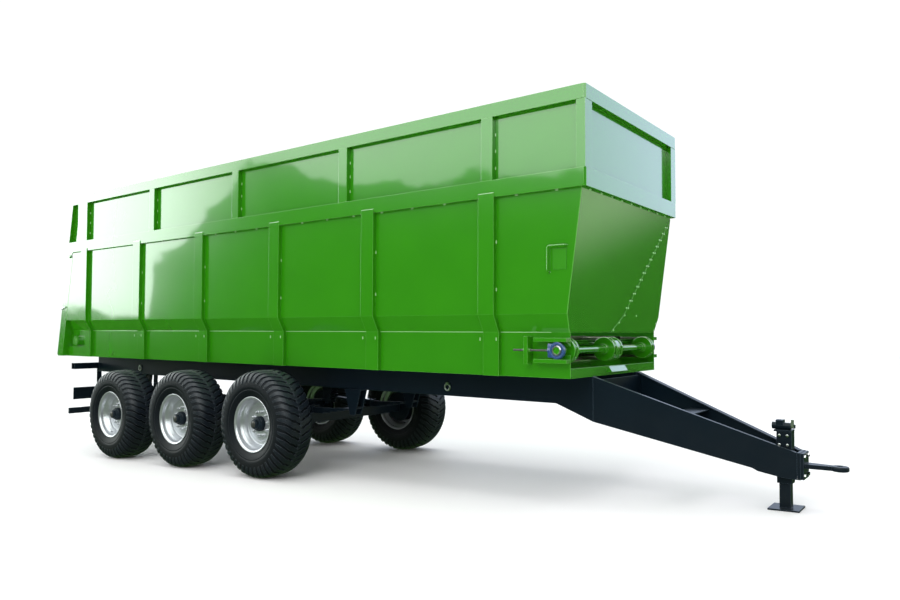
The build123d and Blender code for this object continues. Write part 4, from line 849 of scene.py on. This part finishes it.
# ------------------------------------------------------------------ wheels
@dataclass
class Wheel:
    """Flotation tyre with herringbone lugs on a deep stepped rim, about the origin on a Y axis."""

    lug_count: int = 44
    lug_width: float = 0.063
    lug_height: float = 0.0135
    tread_radius: float = 0.608
    root_depth: float = 0.006
    overlap: float = 0.014
    reach: float = 0.295
    shoulder: float = 0.17
    cuts: int = 13
    stud_circle: float = 0.14
    stud_count: int = 10
    half_section: Profile = field(default_factory=lambda: [
        (0.608, 0.0), (0.607, 0.06), (0.604, 0.11), (0.597, 0.15), (0.584, 0.18), (0.566, 0.2),
        (0.54, 0.215), (0.508, 0.2245), (0.475, 0.2295), (0.44, 0.231), (0.415, 0.2292), (0.411, 0.2262),
        (0.402, 0.2252), (0.398, 0.2272), (0.38, 0.2218), (0.355, 0.2125), (0.336, 0.2035), (0.324, 0.198),
    ])
    rim_section: Profile = field(default_factory=lambda: [
        (0.3215, 0.198), (0.3218, 0.2045), (0.318, 0.207), (0.312, 0.2065), (0.3, 0.199), (0.293, 0.187),
        (0.2905, 0.17), (0.289, 0.15), (0.277, 0.131), (0.268, 0.118), (0.264, 0.104), (0.253, 0.09),
        (0.25, 0.078), (0.246, 0.064), (0.238, 0.06), (0.207, 0.06), (0.198, 0.063), (0.19, 0.0735),
        (0.089, 0.074), (0.089, 0.061), (0.186, 0.06), (0.2, 0.047), (0.25, 0.046), (0.253, -0.124),
        (0.2905, -0.157), (0.291, -0.19), (0.3, -0.2), (0.318, -0.207), (0.3215, -0.199), (0.305, -0.19),
        (0.304, -0.15), (0.267, -0.12), (0.267, 0.06), (0.292, 0.112), (0.304, 0.15), (0.305, 0.19),
    ])
    hub_section: Profile = field(default_factory=lambda: [
        (0.0, 0.0601), (0.17, 0.0601), (0.204, 0.021), (0.205, -0.15), (0.0, -0.15),
    ])
    cap_section: Profile = field(default_factory=lambda: [
        (0.0, 0.061), (0.0865, 0.061), (0.0865, 0.112), (0.082, 0.119), (0.076, 0.1215), (0.072, 0.1365),
        (0.061, 0.139), (0.0565, 0.141), (0.0555, 0.166), (0.051, 0.174), (0.04, 0.178), (0.0, 0.1805),
    ])

    def surface(self, distance: float) -> tuple[Vector, Vector]:
        """The carcass's outline at a distance from the middle of the tread.

        Args:
            distance: the length along the outline, negative past the middle.

        Returns:
            The point and the outward normal, both as (radius, along) pairs.
        """
        points = [Vector(p) for p in self.half_section]
        if distance <= 0.0:
            return Vector((points[0].x, distance)), Vector((1.0, 0.0))
        for first, second in zip(points, points[1:]):
            span = second - first
            if distance <= span.length:
                normal = Vector((span.y, -span.x)).normalized()
                return first + span * (distance / span.length), normal
            distance -= span.length
        return points[-1], Vector((0.0, 1.0))

    @staticmethod
    def lag(distance: float) -> float:
        """How far a lug trails behind its own middle end, in metres round the tread."""
        steps = [(0.0, 0.0), (0.04, 0.002), (0.072, 0.03), (0.11, 0.036), (0.2, 0.1), (0.3, 0.128)]
        for (a, low), (b, high) in zip(steps, steps[1:]):
            if distance <= b:
                return low + (high - low) * max(0.0, distance - a) / (b - a)
        return steps[-1][1]

    def lug(self) -> bpy.types.Object:
        """One lug of the outer row: a long block, divided along its length and laid over the carcass.

        Returns:
            The new piece.
        """
        deselect()
        bpy.ops.mesh.primitive_cube_add(size=1.0, location=(0.5, 0, 0))
        piece = bpy.context.active_object
        bake_place(piece)
        bpy.ops.object.mode_set(mode="EDIT")
        bpy.ops.mesh.select_mode(type="EDGE")
        bpy.ops.mesh.select_all(action="DESELECT")
        bpy.ops.object.mode_set(mode="OBJECT")
        for edge in piece.data.edges:
            first, second = (piece.data.vertices[v].co for v in edge.vertices)
            edge.select = abs(first.x - second.x) > 0.5
        bpy.ops.object.mode_set(mode="EDIT")
        bpy.ops.mesh.subdivide(number_cuts=self.cuts)
        bpy.ops.mesh.select_mode(type="VERT")
        bpy.ops.object.mode_set(mode="OBJECT")
        for vertex in piece.data.vertices:
            share, across, up = vertex.co.x, vertex.co.y * 2.0, vertex.co.z + 0.5
            distance = -self.overlap + (self.reach + self.overlap) * share
            spot, normal = self.surface(distance)
            fall = max(0.0, (distance - self.shoulder) / (self.reach - self.shoulder))
            width = self.lug_width * (1.0 - 0.12 * up) * (1.0 - 0.45 * fall)
            height = self.lug_height * (1.0 - 0.75 * fall) if up > 0.5 else -self.root_depth
            spot = spot + normal * height
            turn = -(self.lag(distance) + across * -width / 2) / self.tread_radius
            vertex.co = (spot.x * math.sin(turn), spot.y, spot.x * math.cos(turn))
        only(piece)
        bpy.ops.object.mode_set(mode="EDIT")
        bpy.ops.mesh.select_all(action="SELECT")
        bpy.ops.mesh.normals_make_consistent(inside=False)
        bpy.ops.object.mode_set(mode="OBJECT")
        return piece

    def carcass(self) -> bpy.types.Object:
        """The tyre's body without its lugs.

        Returns:
            The new piece.
        """
        inner = [(0.306, 0.189), (0.305, 0.165), (0.39, 0.19), (0.47, 0.2), (0.545, 0.175), (0.582, 0.1)]
        half = [*self.half_section, *inner]
        outline = half[1:] + [(0.588, 0.0)] + [(r, -a) for r, a in reversed(half[1:])] + [half[0]]
        return turned(outline, (0, 0, 0), "Y", 96)

    def lugs(self) -> bpy.types.Object:
        """Both rows of lugs.

        Returns:
            The new piece.
        """
        lug = self.lug()
        half_pitch = math.pi / self.lug_count
        mirrored_lug = copied(lug, Matrix.Scale(-1.0, 4, (0, 1, 0)))
        rows = ring_of(lug, self.lug_count, (0, 0, 0), "Y")
        rows += ring_of(mirrored_lug, self.lug_count, (0, 0, 0), "Y", half_pitch)
        return joined(rows)

    def rim(self) -> bpy.types.Object:
        """The stepped rim and disc with its wheel nuts and valve.

        Returns:
            The new piece.
        """
        dish = turned(self.rim_section, (0, 0, 0), "Y", 96)
        nut = hexagon(0.032, 0.022, (self.stud_circle, 0.085, 0), "Y")
        spot = (self.stud_circle, 0, 0)
        collar = turned([(0.0, 0.0735), (0.021, 0.0735), (0.018, 0.078), (0.0, 0.078)], spot, "Y", 16)
        stud = turned(
            [(0.0, 0.09), (0.0105, 0.09), (0.0105, 0.106), (0.009, 0.108), (0.0, 0.108)], spot, "Y", 12
        )
        fixing = joined([nut, collar, stud])
        valve = turned([(0.0, 0.1), (0.006, 0.1), (0.005, 0.15), (0.0, 0.15)], (0.262, 0, 0.05), "Y", 10)
        return joined([dish, valve, *ring_of(fixing, self.stud_count, (0, 0, 0), "Y")])

    def hub(self) -> bpy.types.Object:
        """The brake drum behind the disc and the hub's flanged body.

        Returns:
            The new piece.
        """
        drum = turned(self.hub_section, (0, 0, 0), "Y", 64)
        hole = turned([(0.0, 0.1205), (0.007, 0.1205), (0.007, 0.127), (0.0, 0.127)], (0.068, 0, 0), "Y", 6)
        cap = turned(self.cap_section, (0, 0, 0), "Y", 48)
        return joined([drum, cap, *ring_of(hole, 6, (0, 0, 0), "Y")])

    def cap(self) -> bpy.types.Object:
        """The bright screwed cap at the wheel's centre."""
        return turned(
            [(0.0, 0.1775), (0.036, 0.1775), (0.036, 0.181), (0.03, 0.1835), (0.0, 0.184)], (0, 0, 0), "Y", 32
        )


class RunningGear:
    """The six wheels: tyres, rims, drums and hub caps."""

    STATIONS = ("front", "middle", "rear")
    FIRST_TURN = 0.37
    STATION_TURN = 1.1
    SIDE_TURN = 0.5

    def build(self) -> None:
        """Models one wheel and fits a copy at each place, turned differently."""
        model = Wheel()
        prototypes = {
            # Painted shade: the carcass takes the darker copy of the rubber, the lugs the lighter one.
            "carcass": (model.carcass(), SHADED_RUBBER, Slot.TYRE, "tyre"),
            "tread": (model.lugs(), LIT_LUG_RUBBER, Slot.TYRE, None),
            "dish": (model.rim(), SILVER, Slot.RIM, "rim"),
            "hub": (model.hub(), DARK, Slot.DARK, None),
            "hub_cap": (model.cap(), MOTOR, Slot.MOTOR, None),
        }
        for number, station in enumerate(self.STATIONS):
            for side_name, side in (("right", -1.0), ("left", 1.0)):
                place = LEVEL.place(f"wheel_{station}_{side_name}_spin")
                low, high = LEVEL.box(f"tyre_{station}_{side_name}")
                place.y = (low.y + high.y) / 2
                turn = self.FIRST_TURN + self.STATION_TURN * number + self.SIDE_TURN * side
                spin = Matrix.Rotation(turn, 4, "Y")
                move = Matrix.Translation(place) @ Matrix.Scale(side, 4, (0, 1, 0)) @ spin
                for kind, (piece, finish, slot, stem) in prototypes.items():
                    stands_for = (f"{stem}_{station}_{side_name}",) if stem else ()
                    settle(
                        copied(piece, move), f"{kind}_{station}_{side_name}", f"wheel_{station}_{side_name}",
                        finish, stands_for,
                    )
        for piece, *_ in prototypes.values():
            bpy.data.objects.remove(piece)


# ------------------------------------------------------------------ moving floor
@dataclass
class Conveyor:
    """Shafts with chain wheels, the chains, and the take-up bearings with their threaded rods."""

    wheel_radius: float = 0.118
    groove_radius: float = 0.0866
    chain_width: float = 0.04
    chain_height: float = 0.024
    cheek: float = 0.022
    pitch: float = 0.092
    plate: float = 0.007
    pin_radius: float = 0.0095
    turn_start: float = 0.02
    shaft_radius: float = 0.032
    thread_pitch: float = 0.004
    thread_depth: float = 0.0016

    def __post_init__(self) -> None:
        """Finds the shafts and chain lines in the frame."""
        self.front = LEVEL.place("front_shaft_spin")
        self.rear = LEVEL.place("rear_shaft_spin")
        self.half_shaft = LEVEL.box("front_shaft")[1].y
        lines = {round((a.y + b.y) / 2, 3) for a, b in LEVEL.solids("chain_front_turns")}
        self.lines = sorted(lines)

    def wheel(self, centre: Vector, low: float, high: float, grooves: list[float]) -> bpy.types.Object:
        """One grooved chain wheel.

        Args:
            centre: the shaft's place.
            low: the wheel's lower face along Y.
            high: its upper face.
            grooves: the middle of each groove.

        Returns:
            The new piece.
        """
        rim, edge = self.wheel_radius, 0.004
        outline = [(self.shaft_radius - 0.001, low), (rim - edge, low), (rim, low + edge)]
        for middle in grooves:
            half = self.chain_width / 2 + 0.001
            outline += [
                (rim, middle - half - 0.006), (rim - edge, middle - half - 0.002),
                (self.groove_radius, middle - half), (self.groove_radius, middle + half),
                (rim - edge, middle + half + 0.002), (rim, middle + half + 0.006),
            ]
        outline += [(rim, high - edge), (rim - edge, high), (self.shaft_radius - 0.001, high)]
        return turned(outline, (centre.x, 0, centre.z), "Y", 72)

    def shaft(self, centre: Vector, body: str) -> None:
        """A shaft with its three chain wheels, the middle one double.

        Args:
            centre: the shaft's place.
            body: the body that turns, which is the CAD node's name too.
        """
        half = self.chain_width / 2 + self.cheek
        outer, inner = self.lines[-1], self.lines[-2]
        radius, end = self.shaft_radius, self.half_shaft
        bar = turned(
            [(0, -end), (radius - 0.003, -end), (radius, -end + 0.003), (radius, end - 0.003),
             (radius - 0.003, end), (0, end)],
            (centre.x, 0, centre.z), "Y", 48,
        )
        wheels = [
            self.wheel(centre, -outer - half, -outer + half, [-outer]),
            self.wheel(centre, -inner - half, inner + half, [-inner, inner]),
            self.wheel(centre, outer - half, outer + half, [outer]),
        ]
        hub_pieces = []
        for side in (-1.0, 1.0):
            for face in (inner + half, outer - half - 0.03):
                middle = side * (face + 0.015)
                hub_pieces.append(turned(
                    [(radius - 0.001, -0.015), (0.05, -0.015), (0.052, -0.012), (0.052, 0.012), (0.05, 0.015),
                     (radius - 0.001, 0.015)],
                    (centre.x, middle, centre.z), "Y", 40,
                ))
        settle(joined([bar, *wheels, *hub_pieces]), f"{body}_turned", body, GREEN, (body,))

    def link(self) -> bpy.types.Object:
        """One chain link about the origin: two side plates along X and a pin across them.

        Returns:
            The new piece.
        """
        half = self.pitch / 2 + 0.008
        high = self.chain_height / 2
        parts = []
        for side in (-1.0, 1.0):
            y = side * (self.chain_width / 2 - self.plate / 2)
            deselect()
            bpy.ops.mesh.primitive_cylinder_add(
                vertices=6, radius=1.0, depth=self.plate, rotation=(math.pi / 2, 0, 0)
            )
            piece = bpy.context.active_object
            bake_place(piece)
            for vertex in piece.data.vertices:
                pointed = abs(vertex.co.x) > 0.9 or abs(vertex.co.z) < 0.1
                vertex.co.x = math.copysign(half if pointed else half - high * 0.6, vertex.co.x)
                vertex.co.z = 0.0 if pointed else math.copysign(high, vertex.co.z)
                vertex.co.y += y
            parts.append(piece)
        deselect()
        bpy.ops.mesh.primitive_cylinder_add(
            vertices=8, radius=self.pin_radius, depth=self.chain_width - 0.002,
            location=(self.pitch / 2, 0, 0), rotation=(math.pi / 2, 0, 0),
        )
        pin = bpy.context.active_object
        bake_place(pin)
        return joined([*parts, pin])

    def chains(self) -> None:
        """The upper and lower strands and both turns of each chain line."""
        radius = (self.groove_radius + self.chain_height / 2) + 0.001
        length = self.front.x - self.rear.x
        turn = math.pi * radius
        loop = 2 * (length + turn)
        count = round(loop / self.pitch)
        link = self.link()
        running, turning = [], []
        for line in self.lines:
            for number in range(count):
                along = loop * number / count
                if along < length:
                    spot = Vector((self.rear.x + along, line, self.front.z + radius))
                    angle = 0.0
                elif along < length + turn:
                    angle = (along - length) / radius
                    spot = Vector((self.front.x + radius * math.sin(angle), line,
                                   self.front.z + radius * math.cos(angle)))
                elif along < 2 * length + turn:
                    spot = Vector((self.front.x - (along - length - turn), line, self.front.z - radius))
                    angle = math.pi
                else:
                    angle = math.pi + (along - 2 * length - turn) / radius
                    spot = Vector((self.rear.x + radius * math.sin(angle), line,
                                   self.front.z + radius * math.cos(angle)))
                move = Matrix.Translation(spot) @ Matrix.Rotation(angle, 4, "Y")
                at_front = spot.x > self.front.x - self.turn_start
                (turning if at_front else running).append(copied(link, move))
        bpy.data.objects.remove(link)
        settle(joined(running), "floor_chain_links", "chassis", STEEL, ("floor_chains",))
        settle(joined(turning), "front_chain_links", "take_up", GREEN, ("chain_front_turns",))

    def bearings(self) -> None:
        """Round flanged housings on slide blocks, with inner rings, grease nipples and rod sockets."""
        housings, rings = [], []
        for low, high in LEVEL.solids("take_up_bearings"):
            side = 1.0 if high.y > 0 else -1.0
            near, far = sorted((abs(low.y), abs(high.y)))
            centre = Vector((self.front.x, 0, self.front.z))
            body = [
                (0.034, near), (0.072, near), (0.0755, near + 0.004), (0.0755, far - 0.012),
                (0.071, far - 0.007), (0.06, far - 0.006), (0.057, far - 0.011), (0.05, far - 0.011),
                (0.05, near + 0.004), (0.034, near + 0.004),
            ]
            housing = turned([(r, side * a) for r, a in body], centre, "Y", 64)
            block_low = (low.x + 0.0005, side * near, low.z + 0.013)
            block_high = (self.front.x - 0.05, side * (near + 0.028), high.z - 0.013)
            slide = slab(
                tuple(map(min, block_low, block_high)), tuple(map(max, block_low, block_high)), 0.008
            )
            rod_boss = hexagon(0.046, 0.03, (low.x + 0.016, side * (near + 0.014), self.front.z), "X")
            nipple_spot = (self.front.x, side * (near + 0.02), self.front.z + 0.0735)
            nipple = turned(
                [(0, 0), (0.006, 0), (0.006, 0.006), (0.0035, 0.009), (0.0045, 0.012), (0, 0.013)],
                nipple_spot, "Z", 12,
            )
            housings += [housing, slide, rod_boss, nipple]
            ring = [
                (0.0325, far - 0.04), (0.0495, far - 0.04), (0.0495, far - 0.014), (0.046, far - 0.009),
                (0.04, far - 0.002), (0.0325, far - 0.002),
            ]
            rings.append(turned([(r, side * a) for r, a in ring], centre, "Y", 48))
        settle(joined(housings), "take_up_housings", "take_up", BLUE, ("take_up_bearings",))
        settle(joined(rings), "bearing_inner_rings", "take_up", ZINC)

    def rods(self) -> None:
        """Threaded rods of the take-up, with real thread rings."""
        rods = []
        for low, high in LEVEL.solids("tension_rods"):
            radius = (high.z - low.z) / 2
            turns = int((high.x - low.x) / self.thread_pitch)
            outline = [(0.0, 0.0)]
            for number in range(turns):
                start = number * self.thread_pitch
                outline += [
                    (radius - self.thread_depth, start + self.thread_pitch / 4),
                    (radius, start + self.thread_pitch * 3 / 4),
                ]
            outline.append((0.0, high.x - low.x))
            centre = (low.x, (low.y + high.y) / 2, (low.z + high.z) / 2)
            rods.append(turned(outline, centre, "X", 16))
        settle(joined(rods), "threaded_rods", "take_up", MOTOR, ("tension_rods",))

    def build(self) -> None:
        """Makes the whole moving floor."""
        self.shaft(self.front, "front_shaft")
        self.shaft(self.rear, "rear_shaft")
        self.chains()
        self.bearings()
        self.rods()


# ------------------------------------------------------------------ chassis fittings
@dataclass
class Fittings:
    """Small parts of the axles, the lamps, the gearbox and the parking jack."""

    spring_half_width: float = 0.049
    u_bolt_gap: float = 0.046
    chamber_back: float = 0.21
    chamber_rise: float = 0.04
    chamber_side: float = 0.7
    chamber_radius: float = 0.072
    lamp_outer: float = 0.84
    lamp_inner: float = 0.7
    lamp_stand: float = 0.036
    reflector_side: float = 0.57
    reflector_half_width: float = 0.045
    reflector_half_height: float = 0.03
    reflector_depth: float = 0.008
    jack_bolt_lead: float = 0.01
    jack_bolt_half: float = 0.032
    jack_bolt_face: float = 0.064
    jack_bolt_rises: tuple[float, ...] = (0.05, 0.13)

    def u_bolts(self) -> None:
        """Four clamping bolts with nuts over each spring seat."""
        centre_y = LEVEL.box("leaf_springs")[1].y - self.spring_half_width + 0.003
        parts = []
        for station in RunningGear.STATIONS:
            place = LEVEL.place(f"wheel_{station}_right_spin")
            for side in (-1.0, 1.0):
                for along in (-self.u_bolt_gap, self.u_bolt_gap):
                    for across in (-1.0, 1.0):
                        spot = (place.x + along, side * centre_y + across * self.spring_half_width, place.z)
                        parts.append(turned(
                            [(0, -0.075), (0.008, -0.075), (0.008, 0.155), (0, 0.157)], spot, "Z", 10
                        ))
                        parts.append(hexagon(0.026, 0.014, (spot[0], spot[1], spot[2] + 0.148), "Z"))
        settle(joined(parts), "spring_u_bolts", "chassis", DARK)

    def chamber_bands(self) -> None:
        """Clamp bands with their bolts, and the ports, of the brake chambers."""
        bands, ports = [], []
        for station in RunningGear.STATIONS:
            place = LEVEL.place(f"wheel_{station}_right_spin")
            for side in (-1.0, 1.0):
                centre = Vector((
                    place.x - self.chamber_back, side * self.chamber_side, place.z + self.chamber_rise,
                ))
                radius = self.chamber_radius
                bands.append(turned(
                    [(radius - 0.002, -0.008), (radius + 0.004, -0.008), (radius + 0.006, 0),
                     (radius + 0.004, 0.008), (radius - 0.002, 0.008)],
                    centre, "X", 40,
                ))
                bands.append(hexagon(0.018, 0.03, centre + Vector((0, 0, radius + 0.012)), "Y"))
                ports.append(hexagon(0.02, 0.016, centre + Vector((-0.04, 0, radius + 0.007)), "Z"))
        settle(joined(bands), "chamber_bands", "chassis", ZINC)
        settle(joined(ports), "chamber_ports", "chassis", MOTOR)

    def lamps(self) -> None:
        """Red and amber lenses on the rear lamps and a red reflector beside each pair."""
        low, high = LEVEL.box("lamp_carrier")
        middle_z = (low.z + high.z) / 2
        lenses = ((self.lamp_outer, RED_LENS, "red"), (self.lamp_inner, AMBER_LENS, "amber"))
        for offset, finish, label in lenses:
            pair = []
            for side in (-1.0, 1.0):
                pair.append(turned(
                    [(0, 0.002), (0.046, 0.002), (0.046, -0.004), (0.04, -0.009), (0.028, -0.0115),
                     (0, -0.012)],
                    (low.x, side * offset, middle_z), "X", 32,
                ))
            settle(joined(pair), f"lenses_{label}", "chassis", finish)
        plate_x = low.x + self.lamp_stand
        half_width, half_height = self.reflector_half_width, self.reflector_half_height
        plates = []
        for side in (-1.0, 1.0):
            y = side * self.reflector_side
            plates.append(slab(
                (plate_x - self.reflector_depth, y - half_width, middle_z - half_height),
                (plate_x + 0.001, y + half_width, middle_z + half_height), 0.003,
            ))
        settle(joined(plates), "rear_reflectors", "chassis", RED_LENS)

    def gearbox(self) -> None:
        """Cover bolts of the drive gearbox."""
        low, high = LEVEL.box("drive_gearbox")
        centre = Vector(((low.x + high.x) / 2, high.y, (low.z + high.z) / 2))
        reach = (high.z - low.z) / 2 - 0.022
        bolts = [
            hexagon(
                0.019, 0.012, centre + Vector((reach * math.cos(turn), 0.004, reach * math.sin(turn))), "Y"
            )
            for turn in (math.tau * (number + 0.5) / 6 for number in range(6))
        ]
        settle(joined(bolts), "gearbox_bolts", "chassis", ZINC)

    def drawbar(self) -> None:
        """Fixing bolts on both sides of the jack's tube, above the drawbar's head."""
        tube_low, tube_high = LEVEL.box("jack_tube")
        head_top = LEVEL.box("drawbar_head")[1].z
        middle_x = (tube_low.x + tube_high.x) / 2 + self.jack_bolt_lead
        bolts = []
        for side in (-1.0, 1.0):
            for along in (-self.jack_bolt_half, self.jack_bolt_half):
                for rise in self.jack_bolt_rises:
                    spot = (middle_x + along, side * self.jack_bolt_face, head_top + rise)
                    bolts.append(hexagon(0.022, 0.012, spot, "Y"))
        settle(joined(bolts), "jack_tube_bolts", "chassis", ZINC)

    def build(self) -> None:
        """Makes every fitting."""
        self.u_bolts()
        self.chamber_bands()
        self.lamps()
        self.gearbox()
        self.drawbar()


# ------------------------------------------------------------------ lights, floor and camera
@dataclass(frozen=True)
class Studio:
    """Pale floor, a soft surround and the camera at the cart's front right."""

    eye: Point = (2.762, -6.741, 1.703)
    yaw: float = 0.6442
    pitch: float = 0.0357
    roll: float = 0.0031
    lens: float = 28.70
    shift_y: float = 0.00646
    floor_half: float = 60.0
    even_light: Point = (1.06, 1.07, 1.08)
    dim_light: Point = (0.55, 0.55, 0.55)

    def camera(self) -> None:
        """Sets the camera, whose place is given in the level frame."""
        forward = Vector((
            -math.sin(self.yaw) * math.cos(self.pitch), math.cos(self.yaw) * math.cos(self.pitch),
            math.sin(self.pitch),
        ))
        right = forward.cross(Vector((0, 0, 1))).normalized()
        up = right.cross(forward)
        tilt = math.cos(self.roll) * right + math.sin(self.roll) * up
        head = -math.sin(self.roll) * right + math.cos(self.roll) * up
        pose = Matrix((tilt, head, -forward)).transposed().to_4x4()
        pose.translation = Vector(self.eye)
        data = bpy.data.cameras.new("studio_camera")
        data.lens = self.lens
        data.sensor_width = 36.0
        data.shift_y = self.shift_y
        data.clip_end = 300.0
        camera = bpy.data.objects.new("studio_camera", data)
        bpy.context.scene.collection.objects.link(camera)
        camera.matrix_world = LEVEL.to_world @ pose
        bpy.context.scene.camera = camera

    def floor(self) -> None:
        """A wide plain pale floor."""
        deselect()
        bpy.ops.mesh.primitive_grid_add(x_subdivisions=4, y_subdivisions=4, size=2 * self.floor_half)
        floor = bpy.context.active_object
        floor.name = "studio_floor"
        material = bpy.data.materials.new("studio_floor")
        material.use_nodes = True
        shader = material.node_tree.nodes["Principled BSDF"]
        shader.inputs["Base Color"].default_value = (0.97, 0.965, 0.96, 1.0)
        shader.inputs["Roughness"].default_value = 0.6
        shader.inputs["Specular IOR Level"].default_value = 0.2
        floor.data.materials.append(material)
        floor.visible_glossy = False

    def area(self, name: str, spot: Point, aim: Point, size: tuple[float, float], power: float) -> None:
        """A large soft area light.

        Args:
            name: the light's name.
            spot: where it hangs.
            aim: the point that it faces.
            size: its width and height.
            power: its output in watts.
        """
        data = bpy.data.lights.new(name, "AREA")
        data.shape = "RECTANGLE"
        data.size, data.size_y = size
        data.energy = power
        lamp = bpy.data.objects.new(name, data)
        bpy.context.scene.collection.objects.link(lamp)
        lamp.location = spot
        lamp.rotation_euler = (Vector(aim) - Vector(spot)).to_track_quat("-Z", "Y").to_euler()

    def surround(self) -> None:
        """Even light for matt surfaces, and a bright sky over a dark bank for reflections."""
        world = bpy.data.worlds.new("studio_surround")
        bpy.context.scene.world = world
        world.use_nodes = True
        tree = world.node_tree
        link = tree.links.new
        background = tree.nodes["Background"]
        place = tree.nodes.new("ShaderNodeTexCoord")
        split = tree.nodes.new("ShaderNodeSeparateXYZ")
        link(place.outputs["Generated"], split.inputs[0])
        # Masks by direction: rear is what the rear bays mirror, ahead what the front faces mirror.
        rear = self._range(tree, split.outputs["X"], (-0.76, -0.86), (0.0, 1.0))
        ahead = self._range(tree, split.outputs["Y"], (0.2, 0.7), (0.0, 1.0))
        mound = self._range(tree, split.outputs["X"], (-0.58, -0.74), (0.165, 0.175))
        dip = math_node(tree, "MULTIPLY_ADD", None, -0.105)
        link(rear, dip.inputs[0])
        gap = self._range(tree, split.outputs["X"], (-0.853, -0.863), (0.0, -0.075))
        link(mound, dip.inputs[2])
        bank = math_node(tree, "MULTIPLY_ADD", None, -0.1)
        link(ahead, bank.inputs[0])
        lowered = math_node(tree, "ADD", None, None)
        link(dip.outputs[0], lowered.inputs[0])
        link(gap, lowered.inputs[1])
        link(lowered.outputs[0], bank.inputs[2])
        noise = tree.nodes.new("ShaderNodeTexNoise")
        noise.inputs["Scale"].default_value = 9.0
        noise.inputs["Detail"].default_value = 4.0
        link(place.outputs["Generated"], noise.inputs["Vector"])
        wave = math_node(tree, "MULTIPLY_ADD", None, 0.12)
        link(noise.outputs["Fac"], wave.inputs[0])
        link(bank.outputs[0], wave.inputs[2])
        # The sky begins where a direction is higher than the bank's wavy top.
        above = math_node(tree, "SUBTRACT", None, None)
        link(split.outputs["Z"], above.inputs[0])
        link(wave.outputs[0], above.inputs[1])
        sky_mask = self._range(tree, above.outputs[0], (-0.004, 0.006), (0.0, 1.0))
        near_sky = Finish.mix(tree, (3.0, 3.2, 3.0), (5.0, 5.4, 5.2), rear)
        sky = Finish.mix(tree, near_sky, (1.45, 1.7, 2.2), ahead)
        slope = math_node(tree, "ADD", None, None)
        link(split.outputs["X"], slope.inputs[0])
        link(split.outputs["Z"], slope.inputs[1])
        glow = self._range(tree, slope.outputs[0], (0.38, 0.5), (0.0, 1.0))
        bank_ahead = Finish.mix(tree, (0.05, 0.12, 0.03), (0.9, 1.05, 0.75), glow)
        bank_colour = Finish.mix(tree, (0.06, 0.14, 0.03), bank_ahead, ahead)
        mirrored = Finish.mix(tree, bank_colour, sky, sky_mask)
        path = tree.nodes.new("ShaderNodeLightPath")
        ahead_dim = self._range(tree, split.outputs["X"], (0.05, 0.7), (0.0, 1.0))
        lit = Finish.mix(tree, self.even_light, self.dim_light, ahead_dim)
        seen = Finish.mix(tree, lit, self.even_light, path.outputs["Is Camera Ray"])
        even = Finish.mix(tree, seen, mirrored, path.outputs["Is Glossy Ray"])
        link(even, background.inputs["Color"])

    @staticmethod
    def _range(tree: bpy.types.NodeTree, value: object, source: tuple, target: tuple) -> object:
        """A smooth remap of a value, as an output socket."""
        node = tree.nodes.new("ShaderNodeMapRange")
        node.interpolation_type = "SMOOTHSTEP"
        tree.links.new(value, node.inputs["Value"])
        for label, number in zip(("From Min", "From Max", "To Min", "To Max"), (*source, *target)):
            node.inputs[label].default_value = number
        return node.outputs["Result"]

    def build(self) -> None:
        """Sets the whole stage."""
        self.camera()
        self.floor()
        self.surround()
        self.area("key_panel", (6.0, -14.0, 11.0), (0.0, 0.0, 1.5), (12.0, 8.0), 1100.0)
        self.area("top_panel", (0.0, 0.0, 14.0), (0.0, 0.0, 0.0), (16.0, 10.0), 900.0)
        bpy.context.scene.view_settings.view_transform = "Standard"


def main() -> None:
    """Builds the cart's looks and the studio, in order."""
    logging.basicConfig(level=logging.INFO, format="%(name)s: %(message)s")
    Studio().build()
    CadFinishes().dress()
    WeldsAndRivets().build()
    RunningGear().build()
    Conveyor().build()
    Fittings().build()


if __name__ == "__main__":
    main()
